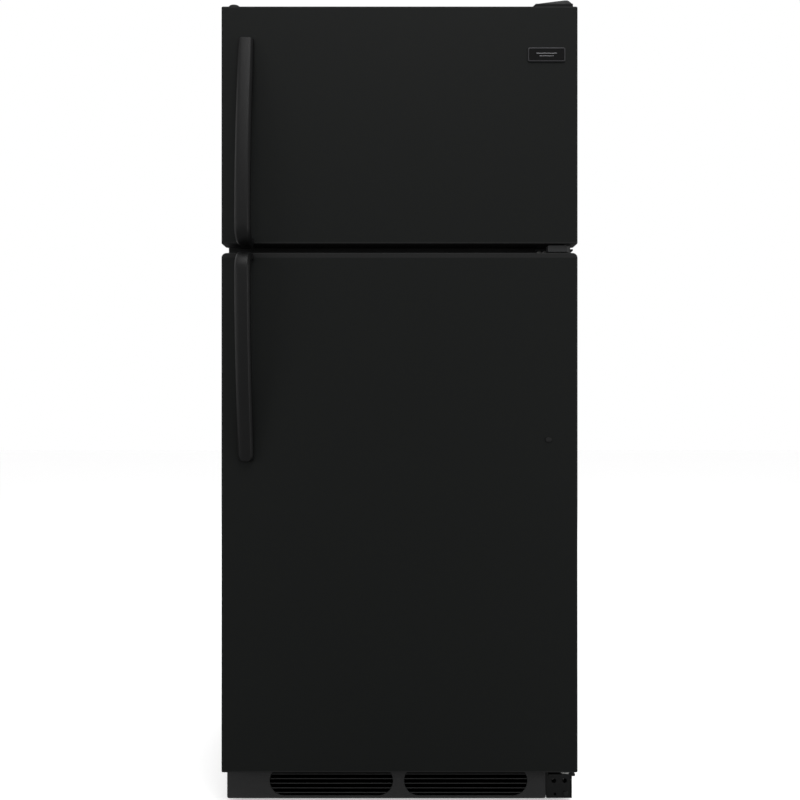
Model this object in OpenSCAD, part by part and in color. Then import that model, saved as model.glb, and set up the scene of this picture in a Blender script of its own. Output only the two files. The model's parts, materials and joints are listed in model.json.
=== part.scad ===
// Top freezer refrigerator with two doors hung on the right.
// Frame: +Z up, the doors face -Y, +X is to the right of someone facing them.
// The origin lies on the floor, at the middle of the outline's width and depth.

/* [Cabinet] */
// Width across either door
door_w = 762; // [750:1:775]
// Depth of the cabinet box behind the gaskets
cab_d = 735; // [720:1:750]
// Foamed wall at the sides, liner included
side_wall = 52; // [46:1:56]
// Foamed wall at the back, liner included
back_wall = 60; // [54:1:64]
// Foamed wall over the freezer, liner included
top_wall = 55; // [50:1:60]
// Foamed mullion between the compartments, liners included
mullion_h = 70; // [64:1:74]

/* [Doors] */
// Thickness of a door without its gasket
door_t = 60; // [56:1:64]
// Thickness of a gasket pressed against the cabinet
gasket_t = 12; // [10:0.5:14]
// Height of the lower door's underside above the floor
door_bottom = 84.2; // [82:0.1:90]
// Height of the lower door
fridge_door_h = 1110.2; // [1100:0.1:1120]
// Gap between the two doors
door_gap = 19.8; // [18:0.1:24]
// Height of the upper door
freezer_door_h = 506.6; // [500:0.1:515]
// How far the door liner's raised rim reaches into the freezer
freezer_dike = 40; // [30:1:45]
// How far the door liner's raised rim reaches into the fridge
fridge_dike = 50; // [40:1:55]

/* [Handles] */
// Width of a handle
handle_w = 33; // [28:1:38]
// How far a handle stands out beside the gap between the doors
handle_out = 62; // [56:1:68]
// How far a handle stands out at its far end
handle_low = 13; // [10:1:16]
// Length of a handle
handle_l = 446; // [430:1:460]
// Distance from a door's free edge to the middle of its handle
handle_in = 54; // [48:1:60]

/* [Hinges] */
// Radius of every door hinge pin
pin_r = 4; // [3.5:0.1:4.5]
// Distance from the hinge side's edge, and the door's face, to the pin
pin_in = 24; // [23:0.5:25]
// Running clearance round a pin, shaft or plunger
run = 0.06; // [0.04:0.01:0.08]

/* [Interior] */
// Height of the upper fridge shelf
shelf_high = 925; // [915:1:935]
// Height of the lower fridge shelf
shelf_low = 640; // [635:1:650]
// Height of the freezer shelf
shelf_freezer = 1440; // [1430:1:1450]

/* [Hidden] */
$fn = 64;

// Depths, front to back
depth = handle_out + door_t + gasket_t + cab_d;
y_back = depth / 2;
y_cab = y_back - cab_d;
y_seal = y_cab - gasket_t;
y_face = y_seal - door_t;

// Widths
half_door = door_w / 2;
half_cab = half_door - 3;
half_cav = half_cab - side_wall;
flange = 25;
half_win = half_cab - flange;

// Heights, floor to top
fridge_z0 = door_bottom;
fridge_z1 = fridge_z0 + fridge_door_h;
freezer_z0 = fridge_z1 + door_gap;
freezer_z1 = freezer_z0 + freezer_door_h;
cab_top = freezer_z1 + 1.7;
gap_z = (fridge_z1 + freezer_z0) / 2;
skirt_z = 24;
base_z = 62;
sill_z = 104;
fridge_cav = [base_z + 52, gap_z - mullion_h / 2];
freezer_cav = [gap_z + mullion_h / 2, cab_top - top_wall];
y_cav = y_back - back_wall;

// Machine compartment behind and below the fridge compartment
mach_y = 185;
mach_z = 262;
hump = [mach_y - 50, mach_z + 50];
deck_z = 46;
cover_y = y_back - 6.6;

// Sheet thicknesses
steel_t = 1.2;
skin_t = 1;
liner_t = 2;
pan_t = 2;

// Hinge line, shared by both doors
pin_x = half_door - pin_in;
pin_y = y_face + pin_in + 1;
pin_in_door = 20;
boss_r = 12;
boss_h = 26;

// Doors
cap_lip = 3;
// Taller lip, with round corners, on top of the lower door
top_lip = 10.5;
top_corner = 10;
cap_h = 14;
return_w = 18;
dike_x = [-(half_cav - 10), half_cav - 16];
dike_w = 22;
dike_gap = 12;
freezer_rim = [freezer_cav[0] + dike_gap, freezer_cav[1] - dike_gap];
fridge_rim = [fridge_cav[0] + dike_gap, fridge_cav[1] - dike_gap];
gasket_w = 16;
gasket_x = half_win + 2;
freezer_seal = [freezer_z0 + 6, freezer_cav[1] + 33];
fridge_seal = [fridge_z0 + 8, fridge_z1 - 6];
bin_x = [dike_x[0] + dike_w + 1, dike_x[1] - dike_w - 1];
bin_t = 2.5;
handle_x = -half_door + handle_in;
handle_drop = 8;

// Drawers
crisper_front = -165;
crisper_top = 300;
deli_front = -110;
deli_x = [-290, -10];
deli_z = [545, 624];
shelf_y = [-185, 330];
shelf_half = half_cav - 4;

// Cold air and machine parts
fan_z = 1540;
mach_fan = [305, 150];
roller_r = 20;
roller_y = 385;
roller_x = 300;
leg_x = 330;
leg_y = -262;
gland = [-325, 90];
knob_z = 1146;
knob_x = [-110, 40];
switch_x = 195;
housing_front = -230;
flap_y = -222;
flap_z = 1086;
dairy_x = [bin_x[0], -12];
dairy_z = [940, 1092];

// ---- shared shapes ----

// Box between two opposite corners
module block(a, b) translate(a) cube(b - a);

// Right-hand shape as drawn for s = 1, or its mirror image across the middle for s = -1
module on_side(s) mirror([s < 0 ? 1 : 0, 0, 0]) children();

// Flat rectangle between two corners, its own corners rounded
module rounded(a, b, r) {
    translate([a.x + r, a.y]) square([b.x - a.x - 2 * r, b.y - a.y]);
    translate([a.x, a.y + r]) square([b.x - a.x, b.y - a.y - 2 * r]);
    for (x = [a.x + r, b.x - r], y = [a.y + r, b.y - r]) translate([x, y]) circle(r);
}

// Flat (x, z) shape carried from y0 to y1
module along_y(y0, y1) translate([0, y1, 0]) rotate([90, 0, 0]) linear_extrude(y1 - y0) children();

// Flat (y, z) shape carried from x0 to x1
module along_x(x0, x1) translate([x0, 0, 0]) rotate([90, 0, 90]) linear_extrude(x1 - x0) children();

// Cylinder along an axis, from one place on it to another
module rod_x(y, z, r, x0, x1) translate([x0, y, z]) rotate([0, 90, 0]) cylinder(r = r, h = x1 - x0);
module rod_y(x, z, r, y0, y1) translate([x, y1, z]) rotate([90, 0, 0]) cylinder(r = r, h = y1 - y0);
module rod_z(x, y, r, z0, z1) translate([x, y, z0]) cylinder(r = r, h = z1 - z0);

// Open-topped tray between two corners
module tray(a, b, t) difference() {
    block(a, b);
    block(a + [t, t, t], b + [-t, -t, 1]);
}

// Picture-frame ring in the (x, z) plane
module frame_ring(x, z, w, y0, y1, r) difference() {
    along_y(y0, y1) rounded([x[0], z[0]], [x[1], z[1]], r);
    along_y(y0 - 1, y1 + 1) rounded([x[0] + w, z[0] + w], [x[1] - w, z[1] - w], max(r - w, 3));
}

// Tube laid back and forth along X through rows given as [y, z]
module serpentine(rows, x0, x1, r) {
    for (row = rows) rod_x(row.x, row.y, r, x0, x1);
    for (i = [0:len(rows) - 2]) {
        near = i % 2;
        step = rows[i + 1] - rows[i];
        b = norm(step) / 2;
        d = [0, step.x, step.y] / (2 * b);
        out = [near ? -1 : 1, 0, 0];
        side = cross(-d, out);
        c = [near ? x0 : x1, rows[i].x, rows[i].y] + b * d;
        multmatrix([[-d.x, out.x, side.x, c.x], [-d.y, out.y, side.y, c.y],
                    [-d.z, out.z, side.z, c.z], [0, 0, 0, 1]])
            rotate_extrude(angle = 180) translate([b, 0]) circle(r);
    }
}

// Axial fan round the Z axis with pitched blades
module fan(r, hub_r, w, blades) {
    cylinder(r = hub_r, h = w);
    intersection() {
        cylinder(r = r, h = w);
        for (i = [0:blades - 1]) rotate(i * 360 / blades)
            translate([hub_r - 2, 0, w / 2]) rotate([32, 0, 0])
                translate([0, -r * 0.36, -1]) cube([r, r * 0.72, 2]);
    }
}

// Screw with a round head on top of a plate of thickness t, pointing down
module screw(t) {
    cylinder(r = 2.5, h = t);
    translate([0, 0, t]) cylinder(r = 5, h = 2.6);
}

// ---- cabinet ----

module freezer_cavity(t) along_y(y_cab - 1, y_cav + t)
    rounded([-half_cav - t, freezer_cav[0] - t], [half_cav + t, freezer_cav[1] + t], 18 + t);

module fridge_cavity(t) intersection() {
    along_y(y_cab - 1, y_cav + t)
        rounded([-half_cav - t, fridge_cav[0] - t], [half_cav + t, fridge_cav[1] + t], 18 + t);
    along_x(-half_cav - t, half_cav + t)
        polygon([[y_cab - 1, fridge_cav[0] - t], [hump.x + t, fridge_cav[0] - t],
            [hump.x + t, hump.y - t], [y_cav + t, hump.y - t],
            [y_cav + t, fridge_cav[1] + t], [y_cab - 1, fridge_cav[1] + t]]);
}

// Shelf ledges down both side walls
module ledges(heights, y0, y1) for (z = heights, s = [-1, 1])
    on_side(s) block([shelf_half - 8, y0, z - 9], [half_cav + 1, y1, z - 0.2]);

module cabinet_shell() color("#151616") difference() {
    block([-half_cab, y_cab, skirt_z], [half_cab, y_back - steel_t, cab_top]);
    block([-half_cab + steel_t, y_cab + steel_t, 0], [half_cab - steel_t, y_back, cab_top - steel_t]);
    block([-half_win, y_cab - 1, 0], [half_win, y_cab + 2 * steel_t, cab_top - flange]);
}

module cabinet_back_panel() color("silver")
    block([-half_cab, y_back - steel_t, mach_z], [half_cab, y_back, cab_top]);

module foam_insulation() color("khaki") difference() {
    block([-half_cab + steel_t, y_cab + steel_t, base_z],
        [half_cab - steel_t, y_back - steel_t, cab_top - steel_t]);
    freezer_cavity(liner_t);
    fridge_cavity(liner_t);
    block([-half_cab, mach_y, 0], [half_cab, y_back, mach_z]);
}

// Steel rails, sill, bulkhead and deck that the foamed box stands on
module base_frame() color("#3a3c3e") {
    inner = half_cab - steel_t;
    // channel rails along both sides
    for (s = [-1, 1]) on_side(s) difference() {
        block([inner - 30, y_cab + steel_t, skirt_z], [inner, y_back - steel_t, base_z]);
        block([inner - 31, y_cab + 2 * steel_t, skirt_z + pan_t], [inner - pan_t, mach_y + 1, base_z - pan_t]);
        block([inner - 31, mach_y, skirt_z + pan_t], [inner - pan_t, y_back, base_z + 1]);
    }
    // front sill and cross channel, with the bored bosses of the levelling legs
    block([-half_win, y_cab, 40], [half_win, y_cab + steel_t, sill_z]);
    difference() {
        union() {
            block([-inner + 30, y_cab + steel_t, base_z - pan_t], [inner - 30, y_cab + 70, base_z]);
            for (s = [-1, 1]) rod_z(s * leg_x, leg_y, 14, skirt_z + 4, base_z - 0.5);
        }
        for (s = [-1, 1]) rod_z(s * leg_x, leg_y, 8 + run, 0, base_z - 3);
    }
    // bulkhead and ceiling of the machine compartment
    block([-inner, mach_y, base_z - pan_t], [inner, mach_y + pan_t, mach_z]);
    block([-inner, mach_y, mach_z - pan_t], [inner, y_back - steel_t, mach_z]);
    for (s = [-1, 1]) on_side(s)
        block([inner - pan_t, mach_y, base_z - pan_t], [inner, y_back - steel_t, mach_z]);
    // deck and roller forks with their axles
    block([-inner + pan_t, mach_y, deck_z - pan_t], [inner - pan_t, cover_y - 2, deck_z]);
    block([-inner + pan_t, mach_y, deck_z - pan_t], [inner - pan_t, mach_y + pan_t, base_z]);
    for (s = [-1, 1]) {
        for (x = [-11, 9]) block([s * roller_x + x, roller_y - 16, 10], [s * roller_x + x + 2, roller_y + 16, deck_z - 1]);
        rod_x(roller_y, roller_r, pin_r, s * roller_x - 12, s * roller_x + 12);
    }
}

module freezer_liner() color("white") {
    difference() {
        union() {
            intersection() {
                freezer_cavity(liner_t);
                block([-half_cab, y_cab, 0], [half_cab, y_back, cab_top]);
            }
            block([-half_win, y_cab, freezer_cav[0] - 10], [half_win, y_cab + steel_t, cab_top - flange]);
        }
        freezer_cavity(0);
    }
    ledges([shelf_freezer], -150, 285);
}

module fridge_liner() color("white") {
    difference() {
        union() {
            intersection() {
                fridge_cavity(liner_t);
                block([-half_cab, y_cab, 0], [half_cab, y_back, cab_top]);
            }
            block([-half_win, y_cab, sill_z], [half_win, y_cab + steel_t, fridge_cav[1] + 10]);
        }
        fridge_cavity(0);
    }
    ledges([shelf_high, shelf_low], -150, 320);
}

module center_rail() color("#1b1c1d")
    block([-half_win, y_cab, fridge_cav[1] + 10], [half_win, y_cab + steel_t, freezer_cav[0] - 10]);

// Kick plate with two round-ended vents
grille_z = [8, 80];
grille_x = [-half_cab + 0.5, 319.7];
vent_x = [-149.4, 144.8];
vent_half = 135;
vent_r = 32;
vent_z = 46;
slot_h = 6.5;
slot_pitch = 10.1;
rib_pitch = 68;
grille_y = y_face + 50;

module vent_outline(x) {
    translate([x - vent_half + vent_r, vent_z - vent_r]) square([2 * (vent_half - vent_r), 2 * vent_r]);
    for (s = [-1, 1]) translate([x + s * (vent_half - vent_r), vent_z]) circle(vent_r);
}

module toe_grille() color("#242526") {
    difference() {
        block([grille_x[0], grille_y, grille_z[0]], [grille_x[1], y_cab, grille_z[1]]);
        block([grille_x[0] + 3, grille_y + 3, grille_z[0] + 3], [grille_x[1] - 3, y_cab + 1, grille_z[1] - 3]);
        for (x = vent_x) {
            along_y(grille_y + 3 - 4.5, grille_y + 4) intersection() {
                vent_outline(x);
                for (i = [0:5]) translate([x - vent_half, 15.6 + i * slot_pitch - slot_h / 2])
                    square([2 * vent_half, slot_h]);
            }
        }
    }
    for (x = vent_x, i = [-1:1]) block([x + i * rib_pitch - 2, grille_y + 1, vent_z - vent_r], 
        [x + i * rib_pitch + 2, grille_y + 3, vent_z + vent_r]);
}

// ---- hinges ----

module top_hinge_bracket() color("#4a4c4e") difference() {
    union() {
        block([pin_x - 18, y_face + 11, cab_top], [pin_x + 11, y_cab + 80, cab_top + 3]);
        rod_z(pin_x, pin_y, pin_r, freezer_z1 - pin_in_door, cab_top + 0.5);
        rod_z(pin_x, pin_y, 7, cab_top + 2, cab_top + 6);
    }
    for (y = [20, 42, 64]) rod_z(pin_x - 3.5, y_cab + y, 2.5 + run, cab_top - 1, cab_top + 4);
}

// Wedge-shaped cap over the upper hinge, taller towards the hinge side
module cover_shape(t) intersection() {
    along_y(y_face + 8 + t, y_cab + 96 - t) polygon([
        [half_door - 97 + t, cab_top - 1], [half_door - 89 + t, cab_top + 13.5 - t],
        [half_door - 84, cab_top + 16 - t], [half_door - 24, cab_top + 25.5 - t],
        [half_door - 16 - t, cab_top + 25.5 - t], [half_door - 9 - t, cab_top + 19 - t],
        [half_door - 9 - t, cab_top - 1]]);
    along_x(half_door - 100, half_door) polygon([
        [y_face + 8 + t, cab_top - t], [y_face + 8 + t, cab_top + 7 - t],
        [y_face + 34, cab_top + 25.5 - t], [y_cab + 70, cab_top + 25.5 - t],
        [y_cab + 96 - t, cab_top + 9 - t], [y_cab + 96 - t, cab_top - t]]);
}

module top_hinge_cover() color("#1d1e1f") difference() {
    cover_shape(0);
    cover_shape(2.4);
}

module center_hinge_bracket() color("#55575a") difference() {
    union() {
        block([pin_x - 57, y_cab - 3, gap_z - 8.5], [half_cab - 3, y_cab, gap_z + 8.5]);
        block([pin_x - 22, pin_y, gap_z - 2], [half_cab - 3, y_cab - 1, gap_z + 2]);
        block([pin_x - 39, pin_y - 17, gap_z - 7.5], [pin_x + 4, pin_y + 12, gap_z + 7.8]);
        rod_z(pin_x, pin_y, pin_r, fridge_z1 - pin_in_door, freezer_z0 + pin_in_door);
        rod_z(pin_x, pin_y, 11, gap_z - 7.5, gap_z + 7.8);
    }
    for (x = [-49, -36]) rod_y(pin_x + x, gap_z, 2.5 + run, y_cab - 4, y_cab + 1);
}

// Pressed bracket beside the grille, with the lower pin and a closing cam
hole_x = [pin_x - 19.3, pin_x + 4.7];
module bottom_hinge_bracket() color("#202122") difference() {
    union() {
        block([grille_x[1] + 1, grille_y + 1, grille_z[0]], [half_cab - 0.5, grille_y + 5, 76]);
        block([grille_x[1] + 1, pin_y - 14, 72], [half_cab - 0.5, y_cab, 76]);
        block([grille_x[1] + 1, y_cab - 4, skirt_z], [half_cab - 0.5, y_cab, 76]);
        block([half_cab - 4.5, grille_y + 1, grille_z[0]], [half_cab - 0.5, y_cab, 76]);
        rod_z(pin_x, pin_y, 11, 75, 79);
        rod_z(pin_x, pin_y, pin_r, 75, fridge_z0 + pin_in_door);
    }
    for (x = hole_x) rod_y(x, 46, 5, grille_y, grille_y + 6);
    rod_y(hole_x[0] + 2.7, 16.6, 3.2, grille_y, grille_y + 6);
    for (x = hole_x) rod_y(x, 46, 2.5 + run, y_cab - 5, y_cab + 1);
}

module hinge_screws() color("#8a8c8e") {
    for (y = [20, 42, 64]) translate([pin_x - 3.5, y_cab + y, cab_top]) screw(3);
    for (x = [-49, -36]) translate([pin_x + x, y_cab, gap_z]) rotate([90, 0, 0]) screw(3);
    for (x = hole_x) translate([x, y_cab, 46]) rotate([90, 0, 0]) screw(4);
}

// ---- back and machine compartment ----

module rear_cover() color("#6e7072") difference() {
    block([-half_cab + 4, cover_y - 2, skirt_z + 4], [half_cab - 4, cover_y, mach_z - 4]);
    for (x = [-170, 170], i = [0:7])
        along_y(cover_y - 3, cover_y + 1) rounded([x - 110, 70 + i * 20], [x + 110, 78 + i * 20], 3.9);
    rod_y(gland.x, gland.y, 9.1, cover_y - 3, cover_y + 1);
}

// Bush that the supply lead would pass through
module cord_gland() color("#101010") difference() {
    union() {
        rod_y(gland.x, gland.y, 9, cover_y - 8, y_back);
        rod_y(gland.x, gland.y, 13, cover_y, cover_y + 3);
        rod_y(gland.x, gland.y, 12, cover_y - 5, cover_y - 2);
    }
    rod_y(gland.x, gland.y, 4.5, cover_y - 9, y_back + 1);
}

comp = [215, 300];
module compressor() color("#17181a") {
    translate([comp.x, comp.y, 0]) rotate_extrude() polygon(concat(
        [[0, deck_z + 14], [66, deck_z + 14], [82, deck_z + 30], [82, deck_z + 78], [87, deck_z + 80],
         [87, deck_z + 84], [82, deck_z + 86], [82, deck_z + 125]],
        [for (a = [15:15:90]) [52 + 30 * cos(a), deck_z + 125 + 40 * sin(a)]],
        [[0, deck_z + 165]]));
    block([comp.x - 88, comp.y - 70, deck_z + 11], [comp.x + 88, comp.y + 70, deck_z + 15]);
    for (x = [-76, 76], y = [-58, 58]) rod_z(comp.x + x, comp.y + y, 11, deck_z, deck_z + 11.5);
}

coil_x = [-330, -50];
coil_y = 222;
module condenser_coil() color("#2b2622") {
    rows = [for (layer = [0:2], k = [0:6])
        [coil_y + 26 * (layer % 2 == 0 ? k : 6 - k), 215 - layer * 42]];
    serpentine(rows, coil_x[0], coil_x[1], 3.2);
    for (x = [-250, -130]) difference() {
        block([x, coil_y - 12, 96], [x + 1.5, coil_y + 168, 240]);
        for (row = rows) rod_x(row.x, row.y, 3.2, x - 1, x + 3);
    }
}

module condenser_fan_motor() color("#3b3d40") {
    shroud_x = 22;
    difference() {
        block([shroud_x, mach_y + 6, deck_z], [shroud_x + 3, cover_y - 6, mach_z - 6]);
        rod_x(mach_fan.x, mach_fan.y, 73, shroud_x - 1, shroud_x + 4);
    }
    difference() {
        union() {
            rod_x(mach_fan.x, mach_fan.y, 32, 48, 92);
            block([66, mach_fan.x - 96, mach_fan.y - 6], [72, mach_fan.x + 96, mach_fan.y + 6]);
        }
        rod_x(mach_fan.x, mach_fan.y, 3 + run, 40, 70);
    }
    for (s = [-1, 1]) block([shroud_x + 3, mach_fan.x + s * 90 - 6, mach_fan.y - 6],
        [72, mach_fan.x + s * 90 + 6, mach_fan.y + 6]);
}

module condenser_fan_blade() color("#c8c8c4") {
    translate([10, mach_fan.x, mach_fan.y]) rotate([0, 90, 0]) fan(68, 18, 24, 5);
    rod_x(mach_fan.x, mach_fan.y, 3, 33, 64);
}

module drain_pan() color("#1a1a1a")
    tray([-350, mach_y + 15, deck_z], [-10, mach_y + 225, deck_z + 32], 2.5);

// ---- freezer inside ----

module evaporator_coil() color("#b9bcc0") {
    rows = [for (k = [0:4]) for (j = [0, 1]) [k % 2 == 0 ? 324 + 26 * j : 350 - 26 * j, 1300 + 36 * k]];
    serpentine(rows, -232, 232, 4);
    for (i = [-9:9]) difference() {
        block([i * 24 - 0.5, 312, 1288], [i * 24 + 0.5, 362, 1456]);
        for (row = rows) rod_x(row.x, row.y, 4, i * 24 - 1, i * 24 + 1);
    }
}

module defrost_heater() color("#9a8f86") {
    rod_x(337, 1264, 4.5, -225, 225);
    for (s = [-1, 1]) rod_x(337, 1264, 8, s * 232 - 9, s * 232 + 9);
    for (x = [-120, 120]) block([x - 4, 340, 1262], [x + 4, y_cav, 1266]);
}

module evaporator_fan_motor() color("#46484b") difference() {
    union() {
        rod_y(0, fan_z, 26, 336, 366);
        block([-66, 360, fan_z - 8], [66, 364, fan_z + 8]);
        for (s = [-1, 1]) block([s * 60 - 6, 360, fan_z - 8], [s * 60 + 6, y_cav, fan_z + 8]);
    }
    rod_y(0, fan_z, 3 + run, 330, 352);
}

module evaporator_fan_blade() color("#d0d0cc") {
    translate([0, 326, fan_z]) rotate([90, 0, 0]) fan(48, 13, 16, 5);
    rod_y(0, fan_z, 3, 325, 350);
}

// White panel that hides the evaporator, with the fan's outlet and a slotted return
module evaporator_cover() color("white") {
    y = 296;
    difference() {
        block([-half_cav + 4, y, freezer_cav[0] + 10], [half_cav - 4, y + 3, 1612]);
        for (a = [0:45:315]) translate([0, 0, fan_z]) rotate([0, a, 0])
            along_y(y - 1, y + 4) rounded([18, -6], [50, 6], 5.9);
        for (i = [-7:7]) along_y(y - 1, y + 4) rounded([i * 36 - 12, 1256], [i * 36 + 12, 1266], 4.9);
    }
    block([-half_cav + 4, y, 1609], [half_cav - 4, y_cav, 1612]);
}

module freezer_shelf() color("white") translate([0, 0, shelf_freezer]) linear_extrude(6) difference() {
    rounded([-shelf_half, -190], [shelf_half, 285], 8);
    for (i = [0:25]) translate([-shelf_half + 8 + i * 24.2, 0]) for (y = [-182, 52]) translate([0, y]) square([19, 225]);
}

// ---- fridge inside ----

module shelf_frame(z) translate([0, 0, z]) linear_extrude(12) difference() {
    rounded([-shelf_half, shelf_y[0]], [shelf_half, shelf_y[1]], 10);
    rounded([-shelf_half + 18, shelf_y[0] + 26], [shelf_half - 18, shelf_y[1] - 18], 4);
}

module fridge_shelf_frames() color("white") {
    difference() {
        for (z = [shelf_high, shelf_low]) shelf_frame(z);
        for (z = [shelf_high, shelf_low]) glass_sheet(z);
    }
    // hangers that the deli drawer runs in
    for (x = [deli_x[0] - 12, deli_x[1] + 9]) block([x, deli_front + 4, deli_z[1] - 8], [x + 3, 250, shelf_low]);
    block([deli_x[0] - 12, deli_front + 4, deli_z[1] - 10], [deli_x[0] - 1.5, 250, deli_z[1] - 7]);
    block([deli_x[1] + 1.5, deli_front + 4, deli_z[1] - 10], [deli_x[1] + 12, 250, deli_z[1] - 7]);
}

module glass_sheet(z) block([-shelf_half + 12, shelf_y[0] + 20, z + 7.5], [shelf_half - 12, shelf_y[1] - 12, z + 12]);

module fridge_shelf_glass() color("#bfe0d8", 0.4) for (z = [shelf_high, shelf_low]) glass_sheet(z);

// Lid over both crispers, with the two slots of the humidity sliders in its front rail
slider_x = 165;
module crisper_cover() color("#e8edee") {
    y0 = crisper_front - 22;
    difference() {
        block([-shelf_half, y0, crisper_top + 6], [shelf_half, y0 + 10, hump.y + 14]);
        for (s = [-1, 1]) along_y(y0 - 1, y0 + 11)
            rounded([s * slider_x - 36, crisper_top + 12], [s * slider_x + 36, crisper_top + 18], 2.9);
    }
    difference() {
        block([-shelf_half, y0 + 10, hump.y + 2], [shelf_half, 330, hump.y + 14]);
        block([-shelf_half + 18, y0 + 26, hump.y + 6], [shelf_half - 18, 312, hump.y + 15]);
    }
}

module humidity_slider(s) color("#c9d2d6") {
    y0 = crisper_front - 22;
    along_y(y0 - 5, y0 - 0.3) rounded([s * slider_x - 14, crisper_top + 8], [s * slider_x + 14, crisper_top + 22], 3);
    block([s * slider_x - 9, y0 - 1, crisper_top + 12.3], [s * slider_x + 9, y0 + 9.6, crisper_top + 17.7]);
}

// Clear drawer with a pull lip along its front
module crisper(x0, x1) color("#e6eef0", 0.6) {
    tray([x0, crisper_front, fridge_cav[0] + 3], [x1, hump.x - 5, crisper_top], 3);
    block([x0 + 20, crisper_front - 8, crisper_top - 34], [x1 - 20, crisper_front + 1, crisper_top - 28]);
    block([x0 + 20, crisper_front - 8, crisper_top - 46], [x1 - 20, crisper_front - 5, crisper_top - 30]);
}

module deli_drawer() color("#e6eef0", 0.6) {
    tray([deli_x[0], deli_front, deli_z[0]], [deli_x[1], 250, deli_z[1]], 3);
    for (x = [deli_x[0] - 7, deli_x[1] - 1]) block([x, deli_front + 4, deli_z[1] - 6], [x + 8, 250, deli_z[1] - 3]);
    block([deli_x[0] + 20, deli_front - 9, deli_z[1] - 30], [deli_x[1] - 20, deli_front + 1, deli_z[1] - 24]);
}

module control_housing() color("white") difference() {
    block([-215, housing_front, 1125], [215, -50, fridge_cav[1] - 2]);
    block([-211, housing_front + 4, 1129], [175, -54, fridge_cav[1]]);
    block([-60, -125, 1120], [60, -70, 1135]);
    for (x = knob_x) rod_y(x, knob_z, 4 + run, housing_front - 1, housing_front + 5);
    rod_y(switch_x, knob_z, 4 + run, housing_front - 1, housing_front + 62);
}

module knob(x) color("#dfe1e2") {
    difference() {
        rod_y(x, knob_z, 16, housing_front - 16, housing_front - 0.4);
        for (s = [-1, 1]) block([x + s * 12 - 8, housing_front - 18, knob_z - 20],
            [x + s * 12 + 8, housing_front - 7, knob_z + 20]);
    }
    rod_y(x, knob_z, 4, housing_front - 1, housing_front + 18);
}

module light_cover() color("#f4f4f0", 0.7) difference() {
    block([-72, -135, 1088], [72, -60, 1125]);
    block([-70, -133, 1090], [70, -62, 1126]);
}

module light_switch() color("white")
    rod_y(switch_x, knob_z, 4, y_seal + fridge_dike + 0.3, housing_front + 45);

// ---- feet ----

module front_leg(s) color("#2a2a2a") {
    rod_z(s * leg_x, leg_y, 18, 0, 8);
    rod_z(s * leg_x, leg_y, 8, 7, base_z - 8);
}

module rear_roller(s) color("#222222") difference() {
    rod_x(roller_y, roller_r, roller_r, s * roller_x - 8, s * roller_x + 8);
    rod_x(roller_y, roller_r, pin_r + run, s * roller_x - 9, s * roller_x + 9);
}

// ---- doors ----

module door_outline(t) rounded([-half_door + t, y_face + t], [half_door - t, y_seal - t], 5 - t);

module door_body(t, z0, z1) translate([0, 0, z0]) linear_extrude(z1 - z0) door_outline(t);

module door_skin(z0, z1, lip) color("#1e201f") difference() {
    door_body(0, z0 + cap_lip, z1 - lip);
    door_body(skin_t, z0, z1);
    block([-half_door + return_w, y_seal - 5, z0], [half_door - return_w, y_seal + 1, z1]);
}

module liner_sheet(z0, z1)
    block([-half_door + return_w, y_seal - liner_t, z0 + cap_h], [half_door - return_w, y_seal, z1 - cap_h]);

// Hollow of the raised rim, filled by the foam
module dike_core(rim, d) frame_ring([dike_x[0] + liner_t, dike_x[1] - liner_t],
    [rim[0] + liner_t, rim[1] - liner_t], dike_w - 2 * liner_t, y_seal - liner_t, y_seal + d - liner_t, 10);

module hinge_boss(z, up) rod_z(pin_x, pin_y, boss_r, up ? z : z - boss_h, up ? z + boss_h : z);

module door_foam(z0, z1, rim, d) color("khaki") {
    difference() {
        door_body(skin_t, z0 + cap_h, z1 - cap_h);
        liner_sheet(z0, z1);
        hinge_boss(z0, true);
        hinge_boss(z1, false);
    }
    dike_core(rim, d);
}

module door_liner(z0, z1, rim, d) color("white") difference() {
    union() {
        liner_sheet(z0, z1);
        frame_ring(dike_x, rim, dike_w, y_seal - 0.5, y_seal + d, 12);
    }
    dike_core(rim, d);
}

// Moulded trays that close a door's ends and carry the hinge pins' bushes
module end_cap(z, up, lip = cap_lip) color("#191a1b") difference() {
    union() {
        door_body(0, up ? z : z - lip, up ? z + lip : z);
        door_body(skin_t, up ? z : z - cap_h, up ? z + cap_h : z);
        hinge_boss(z, up);
    }
    rod_z(pin_x, pin_y, pin_r + run, up ? z - 1 : z - pin_in_door - 2, up ? z + pin_in_door + 2 : z + 1);
}

module gasket(seal) color("#0e0e0e")
    frame_ring([-gasket_x, gasket_x], seal, gasket_w, y_seal, y_cab - 0.3, 6);

module door_bin(x, z0, z1, d) tray([x[0], y_seal, z0], [x[1], y_seal + d, z1], bin_t);

// Bow of a handle: u runs from 0 at its far end to 1 where its nose begins
nose_r = 40;
grip_t = 15;
function bow(u) = handle_low + (handle_out - handle_low) * sin(90 * u);
function grip_from() = asin((grip_t - handle_low + 2) / (handle_out - handle_low)) / 90;

// Side profile as (distance behind the door's face, height from the nose's end);
// way is 1 where the handle rises from its nose and -1 where it hangs from it
module handle_side(way) {
    rise = handle_l - nose_r;
    difference() {
        polygon(concat([[0, 0], [0, way * handle_l]],
            [for (i = [0:24]) [-bow(i / 24), way * (handle_l - rise * i / 24)]],
            [for (a = [15:15:90]) [nose_r - handle_out - nose_r * cos(a), way * nose_r * (1 - sin(a))]]));
        polygon(concat([[1, way * (handle_l - rise * grip_from())]],
            [for (i = [0:24]) let (u = grip_from() + (1 - grip_from()) * i / 24)
                [grip_t - bow(u), way * (handle_l - rise * u)]],
            [for (a = [15:15:90]) let (q = nose_r - grip_t)
                [nose_r - handle_out - q * cos(a), way * (nose_r - q * sin(a))]],
            [[1, way * grip_t]]));
    }
}

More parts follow.
